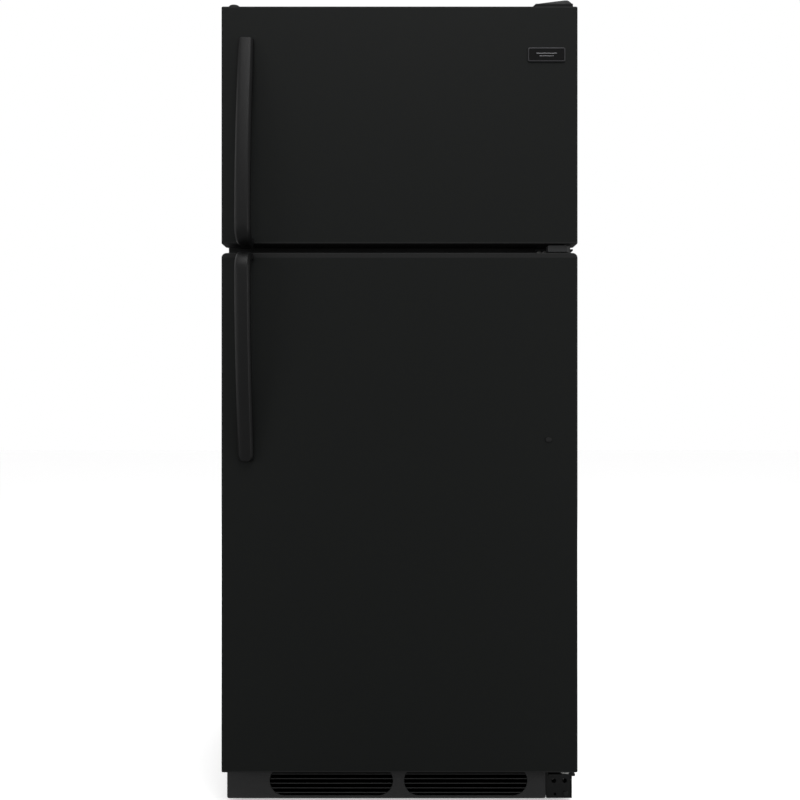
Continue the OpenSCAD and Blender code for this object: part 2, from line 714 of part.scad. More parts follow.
// Handle of the upper door; the lower one is the same moulding turned over
module handle(z_end, way) color("#232425") intersection() {
    along_x(handle_x - handle_w / 2, handle_x + handle_w / 2) translate([y_face, z_end]) handle_side(way);
    along_y(y_face - handle_out - 1, y_face + 1)
        rounded([handle_x - handle_w / 2, min(z_end, z_end + way * handle_l)],
            [handle_x + handle_w / 2, max(z_end, z_end + way * handle_l)], 5);
}

module freezer_door_handle() {
    handle(freezer_z0 - handle_drop, 1);
    // tab that wraps under the door
    color("#232425") block([handle_x - 12, y_face - 1, freezer_z0 - handle_drop], [handle_x + 12, y_face + 22, freezer_z0]);
}

module freezer_door_bins() color("#e9eef0") {
    door_bin(bin_x, freezer_rim[0] + dike_w + 1, freezer_rim[0] + dike_w + 86, 72);
    door_bin(bin_x, shelf_freezer, shelf_freezer + 76, 72);
}

module freezer_door_plug() color("#222324") {
    x = -half_door + pin_in;
    rod_z(x, pin_y, 13, freezer_z1, freezer_z1 + 7);
    translate([x, pin_y, freezer_z1 + 7]) cylinder(r1 = 13, r2 = 10, h = 4);
}

plate_c = [314, 1617];
module nameplate() color("#2c2e30") difference() {
    along_y(y_face - 3, y_face) rounded(plate_c - [40, 15], plate_c + [40, 15], 4);
    along_y(y_face - 4, y_face - 2) rounded(plate_c - [37, 12], plate_c + [37, 12], 2);
}

module fridge_door_end_caps() {
    intersection() {
        end_cap(fridge_z1, false, top_lip);
        along_y(y_face - 1, y_seal + 1) rounded([-half_door, fridge_z1 - 60], [half_door, fridge_z1], top_corner);
    }
    end_cap(fridge_z0, true);
    // sloped cam that helps the door to close
    color("#191a1b") difference() {
        rod_z(pin_x, pin_y, 11, 79.4, fridge_z0 + 0.5);
        rod_z(pin_x, pin_y, pin_r + run, 78, fridge_z0 + 1);
        translate([pin_x, pin_y, 78.2]) rotate([0, -9, 0]) translate([-14, -14, -4]) cube([28, 28, 4]);
    }
}

module fridge_door_bins() color("#e9eef0") {
    door_bin(bin_x, fridge_rim[0] + dike_w + 1, fridge_rim[0] + dike_w + 101, 60);
    for (z = [400, 660]) door_bin(bin_x, z, z + 92, 95);
    door_bin([dairy_x[1] + 6, bin_x[1]], dairy_z[0], dairy_z[0] + 70, 90);
    // dairy box, open towards the inside where its flap closes it
    difference() {
        block([dairy_x[0], y_seal, dairy_z[0]], [dairy_x[1], flap_y + 5, dairy_z[1]]);
        block([dairy_x[0] + 3, y_seal + 3, dairy_z[0] + 3], [dairy_x[1] - 3, flap_y + 6, dairy_z[1] - 3]);
        rod_x(flap_y, flap_z - 4, 2.5 + run, dairy_x[0] - 1, dairy_x[1] + 1);
    }
}

module dairy_door() color("#dfe9ec", 0.6) {
    block([dairy_x[0] + 3.5, flap_y - 1.5, dairy_z[0] + 6], [dairy_x[1] - 3.5, flap_y + 1.5, flap_z - 4]);
    rod_x(flap_y, flap_z - 4, 2.5, dairy_x[0] + 0.4, dairy_x[1] - 0.4);
    block([dairy_x[0] + 60, flap_y, dairy_z[0] + 6], [dairy_x[1] - 60, flap_y + 12, dairy_z[0] + 10]);
}

cabinet_shell();
cabinet_back_panel();
foam_insulation();
base_frame();
freezer_liner();
fridge_liner();
center_rail();
toe_grille();
top_hinge_bracket();
top_hinge_cover();
center_hinge_bracket();
bottom_hinge_bracket();
hinge_screws();
rear_cover();
cord_gland();
compressor();
condenser_coil();
condenser_fan_motor();
condenser_fan_blade();
drain_pan();
evaporator_coil();
defrost_heater();
evaporator_fan_motor();
evaporator_fan_blade();
evaporator_cover();
freezer_shelf();
fridge_shelf_frames();
fridge_shelf_glass();
crisper_cover();
crisper(-317, -4);  // crisper_left
crisper(4, 317);  // crisper_right
humidity_slider(-1);  // humidity_slider_left
humidity_slider(1);  // humidity_slider_right
deli_drawer();
control_housing();
knob(knob_x[0]);  // fridge_control_knob
knob(knob_x[1]);  // freezer_control_knob
light_cover();
light_switch();
front_leg(-1);  // front_leg_left
front_leg(1);  // front_leg_right
rear_roller(-1);  // rear_roller_left
rear_roller(1);  // rear_roller_right
door_skin(freezer_z0, freezer_z1, cap_lip);  // freezer_door_skin
door_foam(freezer_z0, freezer_z1, freezer_rim, freezer_dike);  // freezer_door_foam
door_liner(freezer_z0, freezer_z1, freezer_rim, freezer_dike);  // freezer_door_liner
for (up = [true, false]) end_cap(up ? freezer_z0 : freezer_z1, up);  // freezer_door_end_caps
gasket(freezer_seal);  // freezer_door_gasket
freezer_door_bins();
freezer_door_handle();
freezer_door_plug();
nameplate();
door_skin(fridge_z0, fridge_z1, top_lip);  // fridge_door_skin
door_foam(fridge_z0, fridge_z1, fridge_rim, fridge_dike);  // fridge_door_foam
door_liner(fridge_z0, fridge_z1, fridge_rim, fridge_dike);  // fridge_door_liner
fridge_door_end_caps();
gasket(fridge_seal);  // fridge_door_gasket
fridge_door_bins();
dairy_door();
handle(fridge_z1 - 0.9, -1);  // fridge_door_handle
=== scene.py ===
import json
import math

import bmesh
import bpy
from mathutils import Matrix, Vector

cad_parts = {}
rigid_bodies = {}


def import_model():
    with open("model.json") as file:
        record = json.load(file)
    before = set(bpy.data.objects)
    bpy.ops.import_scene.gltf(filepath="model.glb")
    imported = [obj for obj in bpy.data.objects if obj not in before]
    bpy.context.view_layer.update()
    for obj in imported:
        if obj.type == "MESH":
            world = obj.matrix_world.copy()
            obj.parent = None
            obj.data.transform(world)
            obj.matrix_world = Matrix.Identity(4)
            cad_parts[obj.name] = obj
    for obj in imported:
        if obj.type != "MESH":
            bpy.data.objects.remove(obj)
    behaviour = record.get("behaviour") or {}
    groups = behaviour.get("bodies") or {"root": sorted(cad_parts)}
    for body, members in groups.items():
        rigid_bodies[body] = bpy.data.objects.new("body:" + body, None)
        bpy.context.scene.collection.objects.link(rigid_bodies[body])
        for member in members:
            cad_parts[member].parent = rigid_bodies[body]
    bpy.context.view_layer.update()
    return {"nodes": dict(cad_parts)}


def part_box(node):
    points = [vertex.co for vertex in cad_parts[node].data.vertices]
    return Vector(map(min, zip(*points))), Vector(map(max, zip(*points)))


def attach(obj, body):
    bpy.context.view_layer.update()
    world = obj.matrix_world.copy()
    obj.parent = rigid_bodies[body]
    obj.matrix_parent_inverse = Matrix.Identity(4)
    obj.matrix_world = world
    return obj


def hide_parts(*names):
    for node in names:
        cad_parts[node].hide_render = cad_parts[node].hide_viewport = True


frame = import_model()

MM = 0.001  # pieces are drawn in millimetres, and piece() brings them to the frame's metres
UP, FRONT, RIGHT = Vector((0, 0, 1)), Vector((0, -1, 0)), Vector((1, 0, 0))


# ---------------------------------------------------------------- mesh making

def mesh_from(verts, faces, name="part"):
    """Plain mesh with its doubles merged and its faces turned outwards."""
    mesh = bpy.data.meshes.new(name)
    mesh.from_pydata([tuple(v) for v in verts], [], faces)
    bm = bmesh.new()
    bm.from_mesh(mesh)
    bmesh.ops.remove_doubles(bm, verts=bm.verts, dist=1e-3)
    bmesh.ops.dissolve_degenerate(bm, edges=bm.edges, dist=1e-4)
    bmesh.ops.recalc_face_normals(bm, faces=bm.faces)
    bm.to_mesh(mesh)
    bm.free()
    return mesh


def join(meshes):
    """One mesh out of several."""
    bm = bmesh.new()
    for mesh in meshes:
        bm.from_mesh(mesh)
    out = bpy.data.meshes.new("joined")
    bm.to_mesh(out)
    bm.free()
    return out


def loft(rings, closed_ends=True, round_trip=False):
    """Skin over rings of equal point counts; round_trip joins the last ring to the first."""
    n = len(rings[0])
    verts = [p for ring in rings for p in ring]
    faces = []
    last = len(rings) if round_trip else len(rings) - 1
    for i in range(last):
        a, b = i * n, (i + 1) % len(rings) * n
        faces += [(a + k, a + (k + 1) % n, b + (k + 1) % n, b + k) for k in range(n)]
    if closed_ends and not round_trip:
        faces += [tuple(range(n)), tuple(range((len(rings) - 1) * n, len(rings) * n))]
    return mesh_from(verts, faces)


def arc(cx, cy, r, a0, a1, steps):
    """Points along a round corner, angles in degrees."""
    span = [math.radians(a0 + (a1 - a0) * i / steps) for i in range(steps + 1)]
    return [(cx + r * math.cos(a), cy + r * math.sin(a)) for a in span]


def round_rect(x0, y0, x1, y1, r, steps=6):
    """Outline of a rectangle with round corners, counter-clockwise."""
    r = max(min(r, (x1 - x0) / 2 - 1e-3, (y1 - y0) / 2 - 1e-3), 1e-2)
    return (arc(x1 - r, y0 + r, r, -90, 0, steps) + arc(x1 - r, y1 - r, r, 0, 90, steps)
            + arc(x0 + r, y1 - r, r, 90, 180, steps) + arc(x0 + r, y0 + r, r, 180, 270, steps))


def middle(a, b):
    """Half way between two numbers."""
    return (a + b) / 2


def circle(u, v, r, steps=28):
    """Round outline."""
    turns = [2 * math.pi * k / steps for k in range(steps)]
    return [(u + r * math.cos(a), v + r * math.sin(a)) for a in turns]


AXES = {
    "z": lambda u, v, w: Vector((u, v, w)),
    "y": lambda u, v, w: Vector((u, w, v)),
    "x": lambda u, v, w: Vector((w, u, v)),
}


def pan(lo, hi, r, profile, axis="z", steps=6):
    """Round-cornered shape whose outline is inset by profile = [(inset, place along axis), ...]."""
    place = AXES[axis]
    rings = []
    for inset, w in profile:
        outline = round_rect(lo[0] + inset, lo[1] + inset, hi[0] - inset, hi[1] - inset,
                             max(r - inset, 0.3), steps)
        rings.append([place(u, v, w) for u, v in outline])
    return loft(rings)


def slab(lo, hi, r=1.0, axis="z", corner=None, steps=4):
    """Box between two corners with eased edges; corner rounds the four edges along axis more."""
    ix = {"z": (0, 1, 2), "y": (0, 2, 1), "x": (1, 2, 0)}[axis]
    a, b = [lo[i] for i in ix], [hi[i] for i in ix]
    r = min(r, *[(q - p) / 2.05 for p, q in zip(a, b)])
    ease = [(r - r * math.sin(math.radians(t)), r - r * math.cos(math.radians(t))) for t in (0, 30, 60, 90)]
    profile = [(i, a[2] + h) for i, h in ease] + [(i, b[2] - h) for i, h in reversed(ease)]
    return pan(a[:2], b[:2], corner or r, profile, axis, steps)


def lathe(profile, centre, axis, steps=40):
    """Turned shape: profile = [(radius, distance along the axis), ...] from one end to the other."""
    axis = Vector(axis).normalized()
    side = axis.orthogonal().normalized()
    other = axis.cross(side)
    turns = [2 * math.pi * k / steps for k in range(steps)]
    rings = [[Vector(centre) + axis * h + (side * math.cos(a) + other * math.sin(a)) * max(r, 1e-2)
              for a in turns] for r, h in profile]
    return loft(rings)


def sweep(path, section, place, closed=False):
    """Section [(inset, depth), ...] carried along a flat path, mitred at its corners.

    Inset is measured to the left of the path's direction; place(u, v, w) gives the point."""
    n = len(path)
    rings = []
    for i, (u, v) in enumerate(path):
        before = path[(i - 1) % n] if closed or i > 0 else None
        after = path[(i + 1) % n] if closed or i < n - 1 else None
        normals = []
        for a, b in ((before, (u, v)), ((u, v), after)):
            if a and b:
                d = Vector((b[0] - a[0], b[1] - a[1])).normalized()
                normals.append(Vector((-d.y, d.x)))
        nrm = sum(normals, Vector((0, 0))).normalized()
        nrm /= max(nrm.dot(normals[0]), 0.3)
        rings.append([place(u + nrm.x * s, v + nrm.y * s, w) for s, w in section])
    return loft(rings, round_trip=closed)


def fillet(points, r, steps=6):
    """Polyline in space with its corners rounded to a bend radius."""
    points = [Vector(p) for p in points]
    out = [points[0]]
    for a, b, c in zip(points, points[1:], points[2:]):
        d1, d2 = (b - a).normalized(), (c - b).normalized()
        turn = d1.angle(d2, 0)
        if turn < 0.01:
            out.append(b)
            continue
        cut = min(r * math.tan(turn / 2), (b - a).length * 0.49, (c - b).length * 0.49)
        p, q = b - d1 * cut, b + d2 * cut
        out += [((1 - t) ** 2) * p + 2 * t * (1 - t) * b + t * t * q
                for t in [i / steps for i in range(steps + 1)]]
    return out + [points[-1]]


def tube(points, r, sides=12):
    """Round tube along a polyline in space, its ends closed."""
    points = [Vector(p) for p in points]
    rings, side = [], None
    for i, p in enumerate(points):
        a, b = points[max(i - 1, 0)], points[min(i + 1, len(points) - 1)]
        d = (b - a).normalized()
        side = d.orthogonal().normalized() if side is None else (side - d * side.dot(d)).normalized()
        other = d.cross(side)
        turns = [2 * math.pi * k / sides for k in range(sides)]
        rings.append([p + (side * math.cos(t) + other * math.sin(t)) * r for t in turns])
    return loft(rings)


def plate(outlines, place, w0, w1, ease=0.4):
    """Flat sheet cut to outlines[0] with holes outlines[1:], between w0 and w1, its edges eased."""
    data = bpy.data.curves.new("plate", "CURVE")
    data.dimensions = "2D"
    data.fill_mode = "BOTH"
    thick = abs(w1 - w0)
    ease = min(ease, thick * 0.45)
    data.extrude = thick / 2 - ease
    data.bevel_depth = ease
    data.bevel_resolution = 1
    data.offset = -ease
    for outline in outlines:
        spline = data.splines.new("POLY")
        spline.points.add(len(outline) - 1)
        for point, (u, v) in zip(spline.points, outline):
            point.co = (u, v, 0, 1)
        spline.use_cyclic_u = True
    obj = bpy.data.objects.new("plate", data)
    bpy.context.scene.collection.objects.link(obj)
    mesh = bpy.data.meshes.new_from_object(obj.evaluated_get(bpy.context.evaluated_depsgraph_get()))
    bpy.data.objects.remove(obj)
    mid = (w0 + w1) / 2
    for vert in mesh.vertices:
        vert.co = place(vert.co.x, vert.co.y, mid + vert.co.z)
    bm = bmesh.new()
    bm.from_mesh(mesh)
    bmesh.ops.remove_doubles(bm, verts=bm.verts, dist=1e-3)
    bmesh.ops.recalc_face_normals(bm, faces=bm.faces)
    bm.to_mesh(mesh)
    bm.free()
    return mesh


def moved(mesh, shift=(0, 0, 0), turn=None, about=(0, 0, 0)):
    """Copy of a mesh turned by a matrix about a point, then shifted."""
    out = mesh.copy()
    if turn is not None:
        out.transform(Matrix.Translation(about) @ turn.to_4x4() @ Matrix.Translation(-Vector(about)))
    out.transform(Matrix.Translation(shift))
    return out


def piece(name, mesh, body, material, slot, stands_for=(), bevel=0, segments=3, smooth=38):
    """Finished piece on its body. Its place is in its mesh, and its flat faces keep flat shading."""
    mesh.transform(Matrix.Scale(MM, 4))
    obj = bpy.data.objects.new(name, mesh)
    bpy.context.scene.collection.objects.link(obj)
    mesh.shade_smooth()
    mesh.set_sharp_from_angle(angle=math.radians(smooth))
    if bevel:
        mod = obj.modifiers.new("bevel", "BEVEL")
        mod.width, mod.segments, mod.limit_method = bevel * MM, segments, "ANGLE"
        mod.angle_limit = math.radians(smooth)
    weigh = obj.modifiers.new("weigh", "WEIGHTED_NORMAL")
    weigh.keep_sharp = not bevel
    done = bpy.data.meshes.new_from_object(obj.evaluated_get(bpy.context.evaluated_depsgraph_get()))
    obj.modifiers.clear()
    obj.data = done
    done.name = name
    done.materials.clear()
    done.materials.append(material)
    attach(obj, body)
    if stands_for:
        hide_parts(*([stands_for] if isinstance(stands_for, str) else stands_for))
    return obj


# ---------------------------------------------------------------- repeats

class Tree:
    """Small geometry-node tree whose named inputs are the sizes of what it repeats."""

    def __init__(self, name, **inputs):
        self.tree = bpy.data.node_groups.new(name, "GeometryNodeTree")
        face = self.tree.interface
        self.ids = {}
        for label, kind in inputs.items():
            self.ids[label] = face.new_socket(label, in_out="INPUT",
                                              socket_type="NodeSocket" + kind).identifier
        face.new_socket("Geometry", in_out="OUTPUT", socket_type="NodeSocketGeometry")
        self.source = self.tree.nodes.new("NodeGroupInput")
        self.sink = self.tree.nodes.new("NodeGroupOutput")

    def add(self, kind, links=None, **settings):
        node = self.tree.nodes.new(kind)
        for key, value in settings.items():
            setattr(node, key, value)
        for socket, value in (links or {}).items():
            if isinstance(value, str):
                self.tree.links.new(self.source.outputs[value], node.inputs[socket])
            elif isinstance(value, bpy.types.NodeSocket):
                self.tree.links.new(value, node.inputs[socket])
            else:
                node.inputs[socket].default_value = value
        return node

    def close(self, geometry):
        """Ends the tree as every one here ends: made real, and given its material."""
        real = self.add("GeometryNodeRealizeInstances", {"Geometry": geometry})
        named = self.add("GeometryNodeSetMaterial", {"Geometry": real.outputs[0], "Material": "Material"})
        self.tree.links.new(named.outputs[0], self.sink.inputs[0])
        return self

    def run(self, points=None, **values):
        """Plain mesh that the tree makes from these input values."""
        mesh = points or bpy.data.meshes.new("seed")
        obj = bpy.data.objects.new("grown", mesh)
        bpy.context.scene.collection.objects.link(obj)
        mod = obj.modifiers.new("grow", "NODES")
        mod.node_group = self.tree
        for label, value in values.items():
            mod[self.ids[label]] = value
        done = bpy.data.meshes.new_from_object(obj.evaluated_get(bpy.context.evaluated_depsgraph_get()))
        bpy.data.objects.remove(obj)
        return done


def row_tree():
    """One shape repeated at equal steps along a straight line."""
    t = Tree("row of shapes", Shape="Object", Count="Int", Start="Vector", Step="Vector",
             Material="Material")
    line = t.add("GeometryNodeMeshLine", {"Count": "Count", "Start Location": "Start", "Offset": "Step"})
    shape = t.add("GeometryNodeObjectInfo", {"Object": "Shape"})
    spread = t.add("GeometryNodeInstanceOnPoints", {"Points": line.outputs[0],
                                                    "Instance": shape.outputs["Geometry"]})
    return t.close(spread.outputs[0])


def points_tree():
    """One shape set at every vertex of a mesh of places."""
    t = Tree("shape at places", Places="Geometry", Shape="Object", Material="Material")
    shape = t.add("GeometryNodeObjectInfo", {"Object": "Shape"})
    spread = t.add("GeometryNodeInstanceOnPoints",
                   {"Points": "Places", "Instance": shape.outputs["Geometry"]})
    return t.close(spread.outputs[0])


def rods_tree():
    """Row of straight round wires of one length, stepped sideways."""
    t = Tree("row of wires", Count="Int", Start="Vector", Step="Vector", Run="Vector", Radius="Float",
             Material="Material")
    line = t.add("GeometryNodeMeshLine", {"Count": "Count", "Start Location": "Start", "Offset": "Step"})
    wire = t.add("GeometryNodeCurvePrimitiveLine", {"End": "Run"})
    ring = t.add("GeometryNodeCurvePrimitiveCircle", {"Radius": "Radius", "Resolution": 10})
    skin = t.add("GeometryNodeCurveToMesh", {"Curve": wire.outputs[0], "Profile Curve": ring.outputs[0],
                                            "Fill Caps": True})
    spread = t.add("GeometryNodeInstanceOnPoints", {"Points": line.outputs[0], "Instance": skin.outputs[0]})
    return t.close(spread.outputs[0])


ROW, PLACES, RODS = row_tree(), points_tree(), rods_tree()


def lent(mesh):
    """Object that lends its mesh to a tree and is removed afterwards."""
    obj = bpy.data.objects.new("lent", mesh)
    bpy.context.scene.collection.objects.link(obj)
    return obj


def row(mesh, start, step, count, material):
    """Mesh of count copies of a shape drawn round the origin."""
    shape = lent(mesh)
    done = ROW.run(Shape=shape, Count=count, Start=tuple(start), Step=tuple(step), Material=material)
    bpy.data.objects.remove(shape)
    return done


def at_places(mesh, places, material):
    """Mesh of one copy of a shape at each place."""
    shape = lent(mesh)
    seeds = bpy.data.meshes.new("places")
    seeds.from_pydata([tuple(p) for p in places], [], [])
    done = PLACES.run(points=seeds, Shape=shape, Material=material)
    bpy.data.objects.remove(shape)
    return done


def rods(start, step, count, run, radius, material):
    """Mesh of parallel round wires."""
    return RODS.run(Count=count, Start=tuple(start), Step=tuple(step), Run=tuple(run), Radius=radius,
                    Material=material)


# ---------------------------------------------------------------- finishes

class Group:
    """Shader node group built once and placed in materials with its own values."""

    def __init__(self, name, inputs, outputs):
        self.tree = bpy.data.node_groups.new(name, "ShaderNodeTree")
        for label, (kind, value) in inputs.items():
            socket = self.tree.interface.new_socket(label, in_out="INPUT", socket_type="NodeSocket" + kind)
            socket.default_value = value
        for label, kind in outputs.items():
            self.tree.interface.new_socket(label, in_out="OUTPUT", socket_type="NodeSocket" + kind)
        self.source = self.tree.nodes.new("NodeGroupInput")
        self.sink = self.tree.nodes.new("NodeGroupOutput")
        self.place = self.add("ShaderNodeTexCoord").outputs["Object"]

    def add(self, kind, links=None, **settings):
        return wire_node(self.tree, self.source, kind, links, settings)

    def give(self, **outputs):
        for label, socket in outputs.items():
            self.tree.links.new(socket, self.sink.inputs[label.replace("_", " ")])
        return self.tree


def wire_node(tree, source, kind, links, settings):
    """Adds a node; links maps an input to another socket, a group input's name or a value."""
    node = tree.nodes.new(kind)
    for key, value in settings.items():
        setattr(node, key, value)
    for key, value in (links or {}).items():
        if isinstance(value, str):
            tree.links.new(source.outputs[value], node.inputs[key])
        elif isinstance(value, bpy.types.NodeSocket):
            tree.links.new(value, node.inputs[key])
        else:
            node.inputs[key].default_value = value
    return node


def grain_group():
    """Pebbled grain of textured enamel or a spark-eroded mould: a height, and a mask of its high spots."""
    g = Group("pebble grain", {"Cell": ("Float", 2.0), "Softness": ("Float", 0.5)},
              {"Height": "Float", "High spots": "Float"})
    rate = g.add("ShaderNodeMath", {0: 1000.0, 1: "Cell"}, operation="DIVIDE")
    cells = g.add("ShaderNodeTexVoronoi", {"Vector": g.place, "Scale": rate.outputs[0]},
                  feature="SMOOTH_F1")
    g.tree.links.new(g.source.outputs["Softness"], cells.inputs["Smoothness"])
    fine = g.add("ShaderNodeTexNoise", {"Vector": g.place, "Scale": rate.outputs[0], "Detail": 2.0})
    mixed = g.add("ShaderNodeMath", {0: cells.outputs["Distance"], 1: fine.outputs["Fac"]}, operation="ADD")
    spots = g.add("ShaderNodeMapRange", {"Value": mixed.outputs[0], "From Min": 0.75, "From Max": 1.15})
    return g.give(Height=mixed.outputs[0], High_spots=spots.outputs[0])


def drift_group():
    """Slow change of tone over a panel, and the faint smears that handling leaves."""
    g = Group("tone drift", {"Colour": ("Color", (0.5, 0.5, 0.5, 1)), "Spread": ("Float", 0.1),
                             "Size": ("Float", 0.25), "Roughness": ("Float", 0.4),
                             "Smear": ("Float", 0.05)}, {"Colour": "Color", "Roughness": "Float"})
    rate = g.add("ShaderNodeMath", {0: 1.0, 1: "Size"}, operation="DIVIDE")
    slow = g.add("ShaderNodeTexNoise", {"Vector": g.place, "Scale": rate.outputs[0], "Detail": 3.0})
    centred = g.add("ShaderNodeMath", {0: slow.outputs["Fac"], 1: 0.5}, operation="SUBTRACT")
    scaled = g.add("ShaderNodeMath", {0: centred.outputs[0], 1: "Spread"}, operation="MULTIPLY")
    gain = g.add("ShaderNodeMath", {0: scaled.outputs[0], 1: 1.0}, operation="ADD")
    tint = g.add("ShaderNodeVectorMath", {0: "Colour"}, operation="SCALE")
    g.tree.links.new(gain.outputs[0], tint.inputs["Scale"])
    quick = g.add("ShaderNodeMath", {0: rate.outputs[0], 1: 6.0}, operation="MULTIPLY")
    wipe = g.add("ShaderNodeTexNoise", {"Vector": g.place, "Scale": quick.outputs[0], "Detail": 5.0,
                                        "Distortion": 0.6})
    amount = g.add("ShaderNodeMath", {0: wipe.outputs["Fac"], 1: "Smear"}, operation="MULTIPLY")
    rough = g.add("ShaderNodeMath", {0: amount.outputs[0], 1: "Roughness"}, operation="ADD")
    return g.give(Colour=tint.outputs[0], Roughness=rough.outputs[0])


def brushed_group():
    """Fine parallel scratches along one axis, as rolling or brushing leaves on sheet metal."""
    g = Group("drawn lines", {"Stretch": ("Vector", (4.0, 400.0, 400.0))},
              {"Height": "Float", "Lines": "Float"})
    long = g.add("ShaderNodeVectorMath", {0: g.place, 1: "Stretch"}, operation="MULTIPLY")
    lines = g.add("ShaderNodeTexNoise", {"Vector": long.outputs[0], "Scale": 3.0, "Detail": 4.0})
    return g.give(Height=lines.outputs["Fac"], Lines=lines.outputs["Fac"])


def spangle_group():
    """Crystal flowers of hot-dip galvanised sheet."""
    g = Group("zinc spangle", {"Cell": ("Float", 14.0)}, {"Tone": "Float"})
    rate = g.add("ShaderNodeMath", {0: 1000.0, 1: "Cell"}, operation="DIVIDE")
    warp = g.add("ShaderNodeTexNoise", {"Vector": g.place, "Scale": 60.0, "Detail": 2.0})
    bent = g.add("ShaderNodeVectorMath", {0: warp.outputs["Color"]}, operation="SCALE")
    bent.inputs["Scale"].default_value = 0.008
    moved_place = g.add("ShaderNodeVectorMath", {0: g.place, 1: bent.outputs[0]}, operation="ADD")
    cells = g.add("ShaderNodeTexVoronoi", {"Vector": moved_place.outputs[0], "Scale": rate.outputs[0]})
    tone = g.add("ShaderNodeSeparateColor", {0: cells.outputs["Color"]})
    return g.give(Tone=tone.outputs[0])


GRAIN, DRIFT, BRUSHED, SPANGLE = grain_group(), drift_group(), brushed_group(), spangle_group()


def finish_of(name, colour, rough, spread=0.08, size=0.25, smear=0.06, metallic=0.0, grain=None,
              grain_depth=0.0, softness=0.5, grain_rough=0.0, lines=None, lines_depth=0.0, spangle=0.0,
              coat=0.0, specular=0.5, clear=0.0, ior=1.45, sheen=0.0):
    """Material whose tone drifts, with grain, drawn lines or spangle where they are asked for."""
    mat = bpy.data.materials.new(name)
    mat.use_nodes = True
    tree = mat.node_tree
    shader = tree.nodes["Principled BSDF"]

    def add(kind, links=None, **settings):
        return wire_node(tree, None, kind, links, settings)

    drift = add("ShaderNodeGroup", node_tree=DRIFT)
    for key, value in (("Colour", (*colour, 1)), ("Spread", spread), ("Size", size), ("Roughness", rough),
                       ("Smear", smear)):
        drift.inputs[key].default_value = value
    tone, roughness, height = drift.outputs["Colour"], drift.outputs["Roughness"], None
    if grain:
        pebble = add("ShaderNodeGroup", node_tree=GRAIN)
        pebble.inputs["Cell"].default_value = grain
        pebble.inputs["Softness"].default_value = softness
        height, depth = pebble.outputs["Height"], grain_depth
        if grain_rough:
            lift = add("ShaderNodeMath", {0: pebble.outputs["High spots"], 1: grain_rough},
                       operation="MULTIPLY")
            roughness = add("ShaderNodeMath", {0: roughness, 1: lift.outputs[0]},
                            operation="ADD").outputs[0]
    if lines:
        drawn = add("ShaderNodeGroup", node_tree=BRUSHED)
        drawn.inputs["Stretch"].default_value = lines
        height, depth = drawn.outputs["Height"], lines_depth
        lift = add("ShaderNodeMath", {0: drawn.outputs["Lines"], 1: 0.22}, operation="MULTIPLY")
        roughness = add("ShaderNodeMath", {0: roughness, 1: lift.outputs[0]}, operation="ADD").outputs[0]
    if spangle:
        zinc = add("ShaderNodeGroup", node_tree=SPANGLE)
        gain = add("ShaderNodeMapRange", {"Value": zinc.outputs["Tone"], "To Min": 1 - spangle,
                                          "To Max": 1 + spangle})
        tint = add("ShaderNodeVectorMath", {0: tone}, operation="SCALE")
        tree.links.new(gain.outputs[0], tint.inputs["Scale"])
        tone = tint.outputs[0]
        lift = add("ShaderNodeMath", {0: zinc.outputs["Tone"], 1: 0.15}, operation="MULTIPLY")
        roughness = add("ShaderNodeMath", {0: roughness, 1: lift.outputs[0]}, operation="ADD").outputs[0]
    tree.links.new(tone, shader.inputs["Base Color"])
    tree.links.new(roughness, shader.inputs["Roughness"])
    if height is not None:
        bump = add("ShaderNodeBump", {"Height": height, "Strength": 1.0, "Distance": depth})
        tree.links.new(bump.outputs[0], shader.inputs["Normal"])
    shader.inputs["Metallic"].default_value = metallic
    shader.inputs["Specular IOR Level"].default_value = specular
    shader.inputs["IOR"].default_value = ior
    shader.inputs["Coat Weight"].default_value = coat
    shader.inputs["Coat Roughness"].default_value = 0.15
    shader.inputs["Transmission Weight"].default_value = clear
    shader.inputs["Sheen Weight"].default_value = sheen
    return mat


